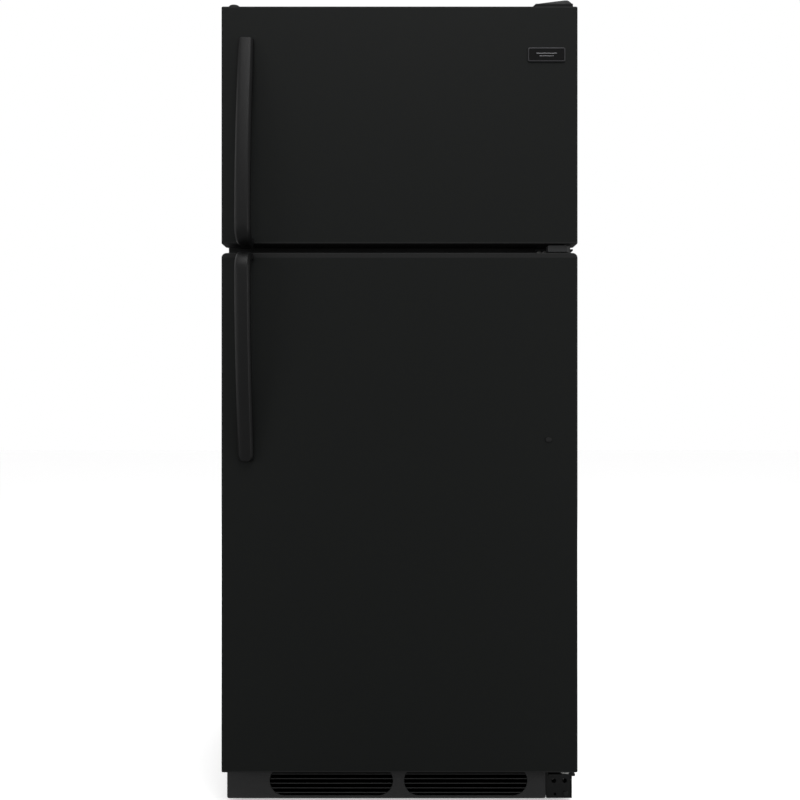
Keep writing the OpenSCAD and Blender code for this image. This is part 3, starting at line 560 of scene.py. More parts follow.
RECIPES = {
    "door enamel": dict(colour=(0.0041, 0.0048, 0.0045), rough=0.52, spread=0.10, size=0.35, smear=0.05,
                        grain=1.5, grain_depth=0.00006, grain_rough=0.06, specular=0.161),
    "cabinet enamel": dict(colour=(0.0061, 0.0066, 0.0064), rough=0.48, spread=0.12, size=0.45, smear=0.06,
                           grain=1.9, grain_depth=0.00007, grain_rough=0.05, specular=0.217),
    "cap plastic": dict(colour=(0.0081, 0.0084, 0.0084), rough=0.55, grain=0.7, grain_depth=0.00003,
                        grain_rough=0.08, specular=0.217),
    "handle plastic": dict(colour=(0.0026, 0.0027, 0.0028), rough=0.35, spread=0.15, size=0.06, smear=0.08,
                           grain=1.5, grain_depth=0.00016, softness=0.2, grain_rough=0.12, specular=0.260),
    "cover plastic": dict(colour=(0.0028, 0.0029, 0.0029), rough=0.5, grain=0.7, grain_depth=0.00003,
                          grain_rough=0.08, specular=0.155),
    "grille plastic": dict(colour=(0.0223, 0.0225, 0.0228), rough=0.58, spread=0.16, size=0.05, grain=1.2,
                           grain_depth=0.0001, softness=0.3, grain_rough=0.12, specular=0.279),
    "hinge paint": dict(colour=(0.0040, 0.0042, 0.0042), rough=0.42, spread=0.2, size=0.05, grain=0.8,
                        grain_depth=0.00003, specular=0.248),
    "center hinge": dict(colour=(0.0186, 0.0192, 0.0198), rough=0.42, spread=0.2, size=0.03, grain=0.9,
                         grain_depth=0.00006, grain_rough=0.1, specular=0.310),
    "frame paint": dict(colour=(0.0279, 0.0285, 0.0298), rough=0.5, spread=0.2, size=0.1, grain=1.5,
                        grain_depth=0.00004, specular=0.248),
    "plated steel": dict(colour=(0.62, 0.62, 0.60), rough=0.26, spread=0.12, size=0.01, metallic=1.0,
                         lines=(300.0, 300.0, 20.0), lines_depth=0.00002),
    "galvanised": dict(colour=(0.50, 0.51, 0.52), rough=0.36, spread=0.1, size=0.3, metallic=0.9,
                       spangle=0.16),
    "rear sheet": dict(colour=(0.36, 0.37, 0.38), rough=0.42, metallic=0.85, spangle=0.10,
                       lines=(3.0, 3.0, 500.0), lines_depth=0.00001),
    "liner": dict(colour=(0.86, 0.87, 0.86), rough=0.24, spread=0.03, size=0.4, smear=0.05, grain=3.5,
                  grain_depth=0.00002, softness=0.9, specular=0.5),
    "white plastic": dict(colour=(0.86, 0.87, 0.86), rough=0.34, spread=0.04, size=0.1, grain=0.9,
                          grain_depth=0.00002, specular=0.5),
    "white wire": dict(colour=(0.82, 0.82, 0.80), rough=0.3, spread=0.05, size=0.04, grain=2.5,
                       grain_depth=0.00006, softness=0.9, coat=0.3),
    "gasket": dict(colour=(0.0099, 0.0099, 0.0105), rough=0.62, spread=0.15, size=0.08, grain=0.8,
                   grain_depth=0.00003, specular=0.217, sheen=0.1),
    "clear plastic": dict(colour=(0.965, 0.982, 0.988), rough=0.10, spread=0.03, size=0.1, smear=0.05,
                          grain=6.0, grain_depth=0.00003, softness=1.0, clear=0.92, ior=1.47),
    "shelf glass": dict(colour=(0.86, 0.96, 0.93), rough=0.02, spread=0.02, size=0.2, smear=0.03,
                        clear=0.96, ior=1.5),
    "lens": dict(colour=(0.95, 0.95, 0.92), rough=0.3, spread=0.04, size=0.05, grain=3.0,
                 grain_depth=0.0002, clear=0.6, ior=1.49),
    "knob": dict(colour=(0.62, 0.64, 0.65), rough=0.34, spread=0.06, size=0.02, grain=0.7,
                 grain_depth=0.00002),
    "badge": dict(colour=(0.0019, 0.0019, 0.0020), rough=0.34, spread=0.05, size=0.02, grain=0.6,
                  grain_depth=0.000005, specular=0.136),
    "badge rim": dict(colour=(0.045, 0.045, 0.047), rough=0.34, spread=0.1, size=0.01, metallic=0.9,
                      lines=(10.0, 400.0, 400.0), lines_depth=0.000008),
    "badge inlay": dict(colour=(0.30, 0.30, 0.31), rough=0.36, spread=0.02, size=0.2, smear=0.0,
                        metallic=1.0),
    "foam": dict(colour=(0.74, 0.60, 0.33), rough=0.9, spread=0.2, size=0.05, grain=2.0,
                 grain_depth=0.0006),
    "compressor paint": dict(colour=(0.010, 0.010, 0.011), rough=0.22, spread=0.15, size=0.08, coat=0.3,
                             grain=5.0, grain_depth=0.00008, softness=0.9),
    "condenser coat": dict(colour=(0.020, 0.017, 0.015), rough=0.6, spread=0.3, size=0.04, grain=1.2,
                           grain_depth=0.00005),
    "motor": dict(colour=(0.16, 0.16, 0.165), rough=0.4, spread=0.15, size=0.03, metallic=0.7,
                  lines=(400.0, 400.0, 10.0), lines_depth=0.00002),
    "fan plastic": dict(colour=(0.60, 0.60, 0.57), rough=0.42, spread=0.08, size=0.03, grain=0.9,
                        grain_depth=0.00002),
    "aluminium": dict(colour=(0.78, 0.79, 0.80), rough=0.3, spread=0.12, size=0.03, metallic=1.0,
                      lines=(200.0, 6.0, 200.0), lines_depth=0.00002),
    "heater": dict(colour=(0.46, 0.42, 0.38), rough=0.35, spread=0.2, size=0.03, metallic=0.9,
                   lines=(6.0, 300.0, 300.0), lines_depth=0.00002),
    "copper": dict(colour=(0.72, 0.36, 0.22), rough=0.3, spread=0.3, size=0.02, metallic=1.0, grain=3.0,
                   grain_depth=0.00004),
    "rubber": dict(colour=(0.018, 0.018, 0.018), rough=0.75, spread=0.2, size=0.03, grain=0.8,
                   grain_depth=0.00005, specular=0.3),
    "bulb glass": dict(colour=(0.98, 0.98, 0.97), rough=0.35, spread=0.02, size=0.02, clear=0.5, grain=1.0,
                       grain_depth=0.00001),
    "brass": dict(colour=(0.78, 0.58, 0.30), rough=0.28, spread=0.15, size=0.01, metallic=1.0,
                  lines=(300.0, 300.0, 12.0), lines_depth=0.00002),
    "print": dict(colour=(0.05, 0.07, 0.10), rough=0.5, spread=0.1, size=0.005),
}
FINISH = {name: finish_of(name, **recipe) for name, recipe in RECIPES.items()}

# ---------------------------------------------------------------- the frame's own places

def box_of(node):
    """Two corners of a node of the frame, in millimetres."""
    return [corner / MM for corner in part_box(node)]


skin_lo, skin_hi = box_of("freezer_door_skin")
shell_lo, shell_hi = box_of("cabinet_shell")
LIP = 3
Y_FACE, Y_SEAL = skin_lo.y, skin_hi.y
HALF = skin_hi.x
Y_CAB = shell_lo.y
CAB_TOP = shell_hi.z
HALF_CAB = shell_hi.x
FREEZER_Z = (skin_lo.z - LIP, skin_hi.z + LIP)
FRIDGE_Z = (box_of("fridge_door_skin")[0].z - LIP, box_of("fridge_door_end_caps")[1].z)
GAP_Z = (FRIDGE_Z[1] + FREEZER_Z[0]) / 2
PIN = Vector((HALF - 24, Y_FACE + 25, 0))
DIKE_W = 22


def xz(u, v, w):
    """Flat shape standing upright, u to the right and v up, w along Y."""
    return Vector((u, w, v))


def xy(u, v, w):
    """Flat shape lying down, w along Z."""
    return Vector((u, v, w))


def yz(u, v, w):
    """Flat shape seen from the side, w along X."""
    return Vector((w, u, v))


def solids_of(node):
    """Corners of each separate solid of a node, sorted by height and then from left to right."""
    bm = bmesh.new()
    bm.from_mesh(frame["nodes"][node].data)
    bmesh.ops.remove_doubles(bm, verts=bm.verts, dist=1e-5)
    left, boxes = set(bm.verts), []
    while left:
        stack, group = [left.pop()], []
        while stack:
            vert = stack.pop()
            group.append(vert.co.copy())
            for edge in vert.link_edges:
                other = edge.other_vert(vert)
                if other in left:
                    left.discard(other)
                    stack.append(other)
        boxes.append((Vector(map(min, zip(*group))) / MM, Vector(map(max, zip(*group))) / MM))
    bm.free()
    return sorted(boxes, key=lambda b: (round(b[0].z), round(b[0].x)))


def paint(node, finish):
    """Better material on a CAD node that keeps its own shape."""
    obj = frame["nodes"][node]
    obj.data.materials.clear()
    obj.data.materials.append(FINISH[finish])


def make(name, mesh, body, finish, slot, stands_for=(), **more):
    """Finished piece in one of the finishes above."""
    return piece(name, mesh, body, FINISH[finish], slot, stands_for, **more)


# ---------------------------------------------------------------- camera, light, floor

# the studio is laid out in metres, its lamps as name, place, aim, size and watts
LENS = 42.14
EYE_X, EYE_DISTANCE, EYE_HEIGHT = 0.001, 2.0, 0.88
LAMPS = (
    ("overhead softbox", (0.2, -2.8, 5.2), (0, -0.2, 0.6), 2.6, 118),
    ("left softbox", (-4.4, -3.2, 0.9), (0, -0.2, 0.6), 2.4, 60),
    ("right softbox", (4.2, -2.8, 0.9), (0, -0.1, 0.6), 2.4, 86),
    ("back softbox", (0.8, 3.8, 3.0), (0, 0.3, 0.9), 2.4, 80),
)


def studio():
    """Straight-on camera, soft overhead and side light, and a pale floor and backdrop."""
    cam = bpy.data.cameras.new("camera")
    cam.sensor_width, cam.lens = 36, LENS
    eye = bpy.data.objects.new("camera", cam)
    eye.location = (EYE_X, Y_FACE * MM - EYE_DISTANCE, EYE_HEIGHT)
    eye.rotation_euler = (math.radians(90), 0, 0)
    bpy.context.scene.collection.objects.link(eye)
    bpy.context.scene.camera = eye

    for name, place, aim, size, power in LAMPS:
        data = bpy.data.lights.new(name, "AREA")
        data.shape, data.size, data.energy = "SQUARE", size, power
        lamp = bpy.data.objects.new(name, data)
        lamp.location = place
        lamp.rotation_euler = (Vector(aim) - Vector(place)).to_track_quat("-Z", "Y").to_euler()
        bpy.context.scene.collection.objects.link(lamp)

    bpy.context.scene.view_settings.view_transform = "Standard"
    world = bpy.data.worlds.new("studio")
    bpy.context.scene.world = world
    world.use_nodes = True
    tree = world.node_tree
    back = tree.nodes["Background"]
    back.inputs["Color"].default_value = (1, 1, 1, 1)
    seen = tree.nodes.new("ShaderNodeLightPath")
    level = tree.nodes.new("ShaderNodeMapRange")
    level.inputs["To Min"].default_value = 0.64
    level.inputs["To Max"].default_value = 1.0
    tree.links.new(seen.outputs["Is Camera Ray"], level.inputs["Value"])
    tree.links.new(level.outputs[0], back.inputs["Strength"])

    ground = slab((-14000, -14000, -60), (14000, 14000, 0), 10)
    ground.transform(Matrix.Scale(MM, 4))
    floor = bpy.data.objects.new("floor", ground)
    bpy.context.scene.collection.objects.link(floor)
    pale = finish_of("pale floor", (0.86, 0.86, 0.86), 0.6, spread=0.01, size=2.0, smear=0.02, grain=3.0,
                     grain_depth=0.00002, specular=0.2)
    tree = pale.node_tree
    seen = tree.nodes.new("ShaderNodeLightPath")
    shader = tree.nodes["Principled BSDF"]
    glow = wire_node(tree, None, "ShaderNodeMath", {0: seen.outputs["Is Camera Ray"], 1: 0.42},
                     {"operation": "MULTIPLY"})
    tree.links.new(glow.outputs[0], shader.inputs["Emission Strength"])
    shader.inputs["Emission Color"].default_value = (1, 1, 1, 1)
    tone = shader.inputs["Base Color"].links[0].from_socket
    dim = wire_node(tree, None, "ShaderNodeMapRange", {"Value": seen.outputs["Is Camera Ray"],
                                                       "To Min": 0.4, "To Max": 1.0}, {})
    kept = wire_node(tree, None, "ShaderNodeVectorMath", {0: tone, "Scale": dim.outputs[0]},
                     {"operation": "SCALE"})
    tree.links.new(kept.outputs[0], shader.inputs["Base Color"])
    floor.data.materials.append(pale)


studio()

# ---------------------------------------------------------------- doors

def door_wrap(z0, z1):
    """Sheet steel folded round a door's face, sides and back edge."""
    x, back = HALF, HALF - 18
    path = fillet([(-back, Y_SEAL, 0), (-x, Y_SEAL, 0), (-x, Y_FACE, 0), (x, Y_FACE, 0), (x, Y_SEAL, 0),
                   (back, Y_SEAL, 0)], 5, steps=7)
    skin = 0.9
    return sweep([(p.x, p.y) for p in path], [(0, z0), (0, z1), (skin, z1), (skin, z0)], xy)


def door_cap(z_out, way, corner=0.0, lip=LIP):
    """Moulded tray on a door's end; corner rounds its two front-view corners."""
    rings = []
    ease = 1.2
    levels = [0, 0.35, ease] + [corner * k / 6 for k in range(1, 7) if corner * k / 6 > ease] + [lip]
    for h in sorted(set(levels)):
        soft = ease - math.sqrt(max(ease ** 2 - (ease - min(h, ease)) ** 2, 0))
        cut = corner - math.sqrt(max(corner ** 2 - (corner - min(h, corner)) ** 2, 0)) if corner else 0
        outline = round_rect(-HALF + max(soft, cut), Y_FACE + soft, HALF - max(soft, cut), Y_SEAL - soft, 5,
                             6)
        rings.append([Vector((u, v, z_out + way * h)) for u, v in outline])
    inner = round_rect(-HALF + 1.2, Y_FACE + 1.2, HALF - 1.2, Y_SEAL - 1.2, 4, 6)
    rings += [[Vector((u, v, z_out + way * h)) for u, v in inner] for h in (lip, 14)]
    return loft(rings)


def door_back(z, rim, depth):
    """Vacuum-formed inner sheet with the raised rim that holds the bins."""
    x0, x1 = rim[0].x, rim[1].x
    r = 6
    path = round_rect(x0, rim[0].z, x1, rim[1].z, 12, 6)
    top = Y_SEAL + depth
    section = [(-4, Y_SEAL - 0.2), (0, Y_SEAL + 4)]
    section += arc(r, top - r, r, 180, 90, 5)
    section += arc(DIKE_W - r, top - r, r, 90, 0, 5)
    section += [(DIKE_W, Y_SEAL + 3), (DIKE_W + 0.9, Y_SEAL + 0.9), (DIKE_W + 3, Y_SEAL - 0.2)]
    dike = sweep(path, section, xz, closed=True)
    sheet = slab((-HALF + 18, Y_SEAL - 2, z[0] + 14), (HALF - 18, Y_SEAL, z[1] - 14),
                 0.8, axis="y", corner=2)
    return join([sheet, dike])


def magnet_gasket(box):
    """Bellows seal: a magnet pocket on a thin folded web, mitred round the door."""
    lo, hi = box
    path = round_rect(lo.x, lo.z, hi.x, hi.z, 7, 5)
    d = hi.y - lo.y
    shape = [(0.30, 0.0), (0.30, 0.18), (0.05, 0.30), (0.0, 0.42), (0.10, 0.52), (0.02, 0.66), (0.0, 0.88),
             (0.10, 1.0), (0.78, 1.0), (0.92, 0.90), (0.92, 0.66), (0.78, 0.54), (0.90, 0.42), (0.98, 0.30),
             (0.72, 0.18), (0.72, 0.0)]
    width = 16
    return sweep(path, [(a * width, lo.y + b * d) for a, b in shape], xz, closed=True)


def tub(lo, hi, r=16, wall=2.5, draft=2, lip=1.2):
    """Moulded open-topped bin with drafted walls, a round bottom edge and a rolled rim."""
    f, h = 5, hi.z - lo.z
    outer = [(draft + f, 0), (draft + 0.3 * f, 0.3 * f), (draft, f), (lip, h - 5), (lip, h - 4),
             (0, h - 3.4), (0, h - 0.8), (0.8, h)]
    rim = lip + wall
    inner = [(rim - 0.6, h), (rim, h - 0.8), (rim, h - 4), (draft + wall, f + wall),
             (draft + wall + 0.3 * f, wall + 0.3 * f), (draft + wall + f, wall)]
    return pan((lo.x, lo.y), (hi.x, hi.y), r, [(i, lo.z + z) for i, z in outer + inner])


def rail_around(lo, hi, r, height, bulge, up):
    """Band that runs round the outside of a bin just under its rim."""
    path = round_rect(lo.x, lo.y, hi.x, hi.y, r, 6)
    half = height / 2
    section = [(0.2, up - half), (-bulge * 0.7, up - half * 0.8), (-bulge, up),
               (-bulge * 0.7, up + half * 0.8), (0.2, up + half)]
    return sweep(path, section, xy, closed=True)


def door(body, z, cap_corner):
    """Everything that both doors are built from."""
    top_lip = 10.5 if cap_corner else LIP
    make(body + "_panel", door_wrap(z[0] + LIP, z[1] - top_lip), body, "door enamel", "black_enamel",
         body + "_skin")
    caps = [door_cap(z[0], 1), door_cap(z[1], -1, cap_corner, top_lip)]
    make(body + "_end_trims", join(caps), body, "cap plastic", "black_plastic", body + "_end_caps")
    paint(body + "_foam", "foam")
    bins = solids_of(body + "_bins")
    side = DIKE_W + 1
    rim = (Vector((bins[0][0].x - side, 0, bins[0][0].z - DIKE_W - 1)),
           Vector((max(b[1].x for b in bins) + side, 0, RIM_TOP[body])))
    make(body + "_inner_liner", door_back(z, rim, box_of(body + "_liner")[1].y - Y_SEAL), body, "liner",
         "liner_plastic", body + "_liner")
    make(body + "_seal", magnet_gasket(box_of(body + "_gasket")), body, "gasket", "gasket_rubber",
         body + "_gasket")
    return bins


RIM_TOP = {"freezer_door": CAB_TOP - 67, "fridge_door": GAP_Z - 47}


def bin_shell(box):
    """Door bin: drafted tub with a stiff band round it just under its rim."""
    lo, hi = box
    body_mesh = tub(lo, hi)
    band = rail_around(lo + Vector((1.4, 1.4, 0)), hi - Vector((1.4, 1.4, 0)), 14.6, 9, 1.4,
                       hi.z - 14)
    return join([body_mesh, band])


def bow(u, low, high):
    """Stand-off along the handle, from low at u = 0 to high at u = 1."""
    return low + (high - low) * math.sin(math.radians(90 * u))


def bar_handle(node, way, corner):
    """Bowed bar with bevelled long edges: flush at its far end, and wrapped back at its nose."""
    lo, hi = box_of(node)
    out, low, grip, nose = Y_FACE - lo.y, 13, 15, 40
    nose_z, far_z = (lo.z, hi.z) if way > 0 else (hi.z, lo.z)
    length = abs(far_z - nose_z)
    rise = length - nose
    stations = []
    steps = 30
    for i in range(steps + 1):
        u = i / steps
        s = bow(u, low, out)
        stations.append(((s, length - rise * u), (max(s - grip, 0), length - rise * u)))
    for k in range(1, 9):
        a = math.radians(90 * k / 8)
        q = nose - grip
        stations.append(((out - nose + nose * math.cos(a), nose - nose * math.sin(a)),
                         (out - nose + q * math.cos(a), nose - q * math.sin(a))))
    stations.append(((0.5 * (out - nose), 0), (0.5 * (out - nose), grip)))
    stations.append(((0, 0), (0, grip)))
    half = (hi.x - lo.x) / 2
    mid = middle(hi.x, lo.x)
    face = [(-1.0, 1.0), (-1.0, 0.55), (-0.96, 0.40), (-0.74, 0.09), (-0.64, 0.035), (-0.35, 0.006),
            (0.0, 0.0), (0.35, 0.006), (0.64, 0.035), (0.74, 0.09), (0.96, 0.40), (1.0, 0.55), (1.0, 1.0)]
    rings = []
    for (s0, h0), (s1, h1) in stations:
        rings.append([Vector((mid + a * half, Y_FACE - s0 - (s1 - s0) * t,
                              nose_z + way * (h0 + (h1 - h0) * t))) for a, t in face])
    # the far end is rounded off in front view and eased down to the door's face
    r, tips = corner, []
    for lift in [r * k for k in (0, 0.03, 0.09, 0.2, 0.38, 0.65, 0.97)]:
        narrow = (half - r + math.sqrt(r * r - (r - lift) ** 2)) / half
        keep = 1 - 0.3 * max(1 - lift / (3), 0) ** 2
        s0 = bow(lift / rise, low, out) * keep
        tips.append([Vector((mid + a * half * narrow, Y_FACE - s0 * (1 - t),
                             nose_z + way * (length - lift))) for a, t in face])
    return loft(tips + rings[1:])


def freezer_door_pieces():
    """Upper door: bins, handle with its end tab, plug over the spare hinge hole, and badge."""
    bins = door("freezer_door", FREEZER_Z, 0)
    make("freezer_door_bin_set", join([bin_shell(b) for b in bins]), "freezer_door", "clear plastic",
         "clear_plastic", "freezer_door_bins")
    lo, hi = box_of("freezer_door_handle")
    tab = slab((lo.x + 4.5, Y_FACE - 1, lo.z), (hi.x - 4.5, hi.y, FREEZER_Z[0] - 0.1), 1.5)
    make("freezer_handle", join([bar_handle("freezer_door_handle", 1, 6), tab]), "freezer_door",
         "handle plastic", "handle_plastic", "freezer_door_handle")
    lo, hi = box_of("freezer_door_plug")
    mid = (lo + hi) / 2
    make("freezer_door_hole_plug", lathe(
        [(12.2, 0), (13, 0.8), (13, 6), (12.2, 8.4), (10.4, 10),
         (6, 10.9), (0.1, 11)], (mid.x, mid.y, lo.z), UP, 48), "freezer_door", "cap plastic",
         "black_plastic", "freezer_door_plug")

    lo, hi = box_of("nameplate")
    base = pan((lo.x, lo.z), (hi.x, hi.z), 4, [
        (0, hi.y), (0, lo.y + 1.0), (0.35, lo.y + 0.3), (1.0, lo.y), (2.0, lo.y),
        (2.5, lo.y + 0.35), (2.7, lo.y + 1.2)], "y", 8)
    make("badge_rim", base, "freezer_door", "badge rim", "nameplate_metal", "nameplate", smooth=30)
    face = pan((lo.x + 2.7, lo.z + 2.7), (hi.x - 2.7, hi.z - 2.7), 1.6, [
        (0, hi.y - 0.2), (0, lo.y + 1.1), (0.3, lo.y + 0.8)], "y", 6)
    make("badge_face", face, "freezer_door", "badge", "nameplate_metal")
    mid = (lo + hi) / 2
    bars = [slab((mid.x - 22, lo.y + 0.45, mid.z + 2.2), (mid.x + 22, lo.y + 0.9, mid.z + 3.4),
                 0.2, "y", 0.5),
            slab((mid.x - 15, lo.y + 0.45, mid.z - 3.4), (mid.x + 15, lo.y + 0.9, mid.z - 2.4),
                 0.2, "y", 0.4)]
    make("badge_inlay", join(bars), "freezer_door", "badge inlay", "nameplate_metal")


def fridge_door_pieces():
    """Lower door: bins and dairy box, handle, screw-hole plug, closing cam and dairy flap."""
    bins = door("fridge_door", FRIDGE_Z, 10)
    lo, hi = bins.pop(3)
    wall, r = 3, 8
    box = pan((lo.x, lo.z), (hi.x, hi.z), r, [
        (1.2, lo.y), (0, lo.y + 1.2), (0, hi.y - 0.8), (0.8, hi.y), (wall - 0.8, hi.y),
        (wall, hi.y - 0.8), (wall, lo.y + wall)], "y")
    make("fridge_door_bin_set", join([bin_shell(b) for b in bins] + [box]), "fridge_door", "clear plastic",
         "clear_plastic", "fridge_door_bins")
    make("fridge_handle", bar_handle("fridge_door_handle", -1, 13), "fridge_door", "handle plastic",
         "handle_plastic", "fridge_door_handle")
    plug_lo, plug_hi = (311.5, 790), (324.5, 800)
    plug = pan(plug_lo, plug_hi, 4.6, [
        (0, Y_FACE + 0.5), (0, Y_FACE - 1.6), (0.5, Y_FACE - 2.4), (1.6, Y_FACE - 2.9)],
        "y", 8)
    make("fridge_door_hole_plug", plug, "fridge_door", "cap plastic", "black_plastic")
    collar = lathe([(4.1, 0.2), (11, 2.6), (11, 4.9), (4.1, 4.9),
                    (4.1, 0.2)], (PIN.x, PIN.y, FRIDGE_Z[0] - 4.9), UP, 48)
    make("closing_cam", collar, "fridge_door", "cap plastic", "black_plastic")

    lo, hi = box_of("dairy_door")
    flap = slab((lo.x + 3.1, lo.y + 0.1, lo.z), (hi.x - 3.1, lo.y + 3, hi.z - 1.5), 1, "y", 5)
    pull = slab((lo.x + 60, lo.y + 1.5, lo.z), (hi.x - 60, hi.y, lo.z + 4), 1.2)
    pin = tube([(lo.x, lo.y + 2.5, hi.z - 2.5), (hi.x, lo.y + 2.5, hi.z - 2.5)], 2.5, 20)
    make("dairy_flap", join([flap, pull, pin]), "dairy_door", "clear plastic", "clear_plastic",
         "dairy_door")


freezer_door_pieces()
fridge_door_pieces()

# ---------------------------------------------------------------- hinges and kick plate

ACCESS_HOLES, ACCESS_Z = (PIN.x - 19.3, PIN.x + 4.7), 46  # holes of the lower bracket, over its two screws


def top_hinge():
    """Sloped cover over the upper hinge, with the small nub at its right."""
    lo, hi = box_of("top_hinge_cover")
    front = [(lo.x, 0), (lo.x + 8, 13.5), (lo.x + 13, 16), (hi.x - 15, 25.5),
             (hi.x - 7, 25.5), (hi.x - 2, 22.5), (hi.x, 19), (hi.x, 0)]
    side = [(lo.y, 6), (lo.y + 1.5, 8), (lo.y + 26, 25.5), (hi.y - 26, 25.5),
            (hi.y - 1.5, 10.5), (hi.y, 9)]
    rings = [[Vector((x, y, CAB_TOP + min(h, limit))) for x, h in front] for y, limit in side]
    nub = slab((hi.x - 0.5, lo.y + 40, CAB_TOP), (hi.x + 5, lo.y + 52, CAB_TOP + 5), 1)
    make("upper_hinge_cover", join([loft(rings), nub]), "cabinet", "cover plastic", "black_plastic",
         "top_hinge_cover", bevel=1.2, smooth=20)
    paint("top_hinge_bracket", "hinge paint")


def middle_hinge():
    """Bracket that carries the upper door's foot and the lower door's head on one pin."""
    lo, hi = box_of("center_hinge_bracket")
    leaf = slab((PIN.x - 57, Y_CAB - 3, GAP_Z - 8.5), (HALF_CAB - 3, Y_CAB, GAP_Z + 8.5), 0.8, "y", 2)
    arm = slab((PIN.x - 22, PIN.y, GAP_Z - 2), (HALF_CAB - 3, Y_CAB - 1, GAP_Z + 2), 0.6)
    block = slab((PIN.x - 39, PIN.y - 17, GAP_Z - 7.5), (PIN.x + 4, PIN.y + 12, GAP_Z + 7.8), 1.6, "y", 2.2)
    barrel = lathe([(10, -7.5), (11, -6.5), (11, 6.8), (10, 7.8)], (PIN.x, PIN.y, GAP_Z), UP, 48)
    ledge = slab((PIN.x - 86, Y_CAB - 2, GAP_Z - 1.2), (PIN.x - 38, Y_CAB, GAP_Z + 0.6), 0.3)
    make("middle_hinge", join([leaf, arm, block, barrel, ledge]), "cabinet", "center hinge",
         "center_hinge_metal", "center_hinge_bracket")
    pin = lathe([(3.2, -(GAP_Z - lo.z)), (4, -(GAP_Z - lo.z) + 1), (4, hi.z - GAP_Z - 1),
                 (3.2, hi.z - GAP_Z)], (PIN.x, PIN.y, GAP_Z), UP, 32)
    make("middle_hinge_pin", pin, "cabinet", "plated steel", "zinc_steel")


def lower_hinge():
    """Folded bracket under the lower door, its pin and its set screw."""
    lo, hi = box_of("bottom_hinge_bracket")
    grille_y = box_of("toe_grille")[0].y
    y0, y1 = grille_y + 1, grille_y + 5

    outline = round_rect(lo.x, lo.z, hi.x, 76, 3, 5)
    face = plate([outline, circle(ACCESS_HOLES[0], ACCESS_Z, 5), circle(ACCESS_HOLES[1], ACCESS_Z, 5),
                  circle(ACCESS_HOLES[0] + 2.7, 16.6, 3.2)], xz, y0, y1, 0.8)
    shelf = slab((lo.x, PIN.y - 14, 72), (hi.x, Y_CAB, 76), 0.8, "z", 3)
    flange = slab((hi.x - 4, y0, lo.z), (hi.x, Y_CAB, 76), 0.8)
    leaf = plate([round_rect(lo.x, 24, hi.x, 76, 2), circle(ACCESS_HOLES[0], ACCESS_Z, 2.6),
                  circle(ACCESS_HOLES[1], ACCESS_Z, 2.6)], xz, Y_CAB - 4, Y_CAB, 0.5)
    bead = [slab((lo.x + 0.5, y1 + 9, lo.z + 1), (hi.x - 3, y1 + 10.5, 40), 0.5, "y"),
            slab((lo.x + 3, y0 - 0.7, 63), (hi.x - 3, y0 + 0.5, 66), 0.6, "y", 1.4)]
    make("lower_hinge", join([face, shelf, flange, leaf] + bead), "cabinet", "hinge paint", "hinge_steel",
         "bottom_hinge_bracket")
    pin = lathe([(11, 75), (11, 78.4), (10.4, 79), (4, 79), (4, hi.z - 1),
                 (3.2, hi.z)], (PIN.x, PIN.y, 0), UP, 32)
    make("lower_hinge_pin", pin, "cabinet", "plated steel", "zinc_steel")
    make("lower_hinge_set_screw", lathe([(5.4, 0), (5.4, 3.2), (4.6, 4), (0.1, 4)],
                                        (363.8, y0 + 1, 18.6), FRONT, 32), "cabinet", "cap plastic",
         "hinge_steel")


def hinge_screws():
    """Round-headed screws of the three hinges, each with a recess."""
    head = lathe([(2.5, -3), (2.5, 0), (5, 0), (5, 1.2), (4.2, 2.2), (2.2, 2.6),
                  (2.0, 1.4), (0.1, 1.4)], (0, 0, 0), UP, 24)
    finish = FINISH["plated steel"]
    upright = at_places(head, [(PIN.x - 3.5, Y_CAB + y, CAB_TOP + 3) for y in (20, 42, 64)], finish)
    turned = moved(head, turn=Matrix.Rotation(math.radians(90), 3, "X"))
    facing = at_places(turned, [(PIN.x + x, Y_CAB - 3, GAP_Z) for x in (-49, -36)]
                       + [(x, Y_CAB - 4, ACCESS_Z) for x in ACCESS_HOLES], finish)
    make("hinge_screw_set", join([upright, facing]), "cabinet", "plated steel", "zinc_steel",
         "hinge_screws")


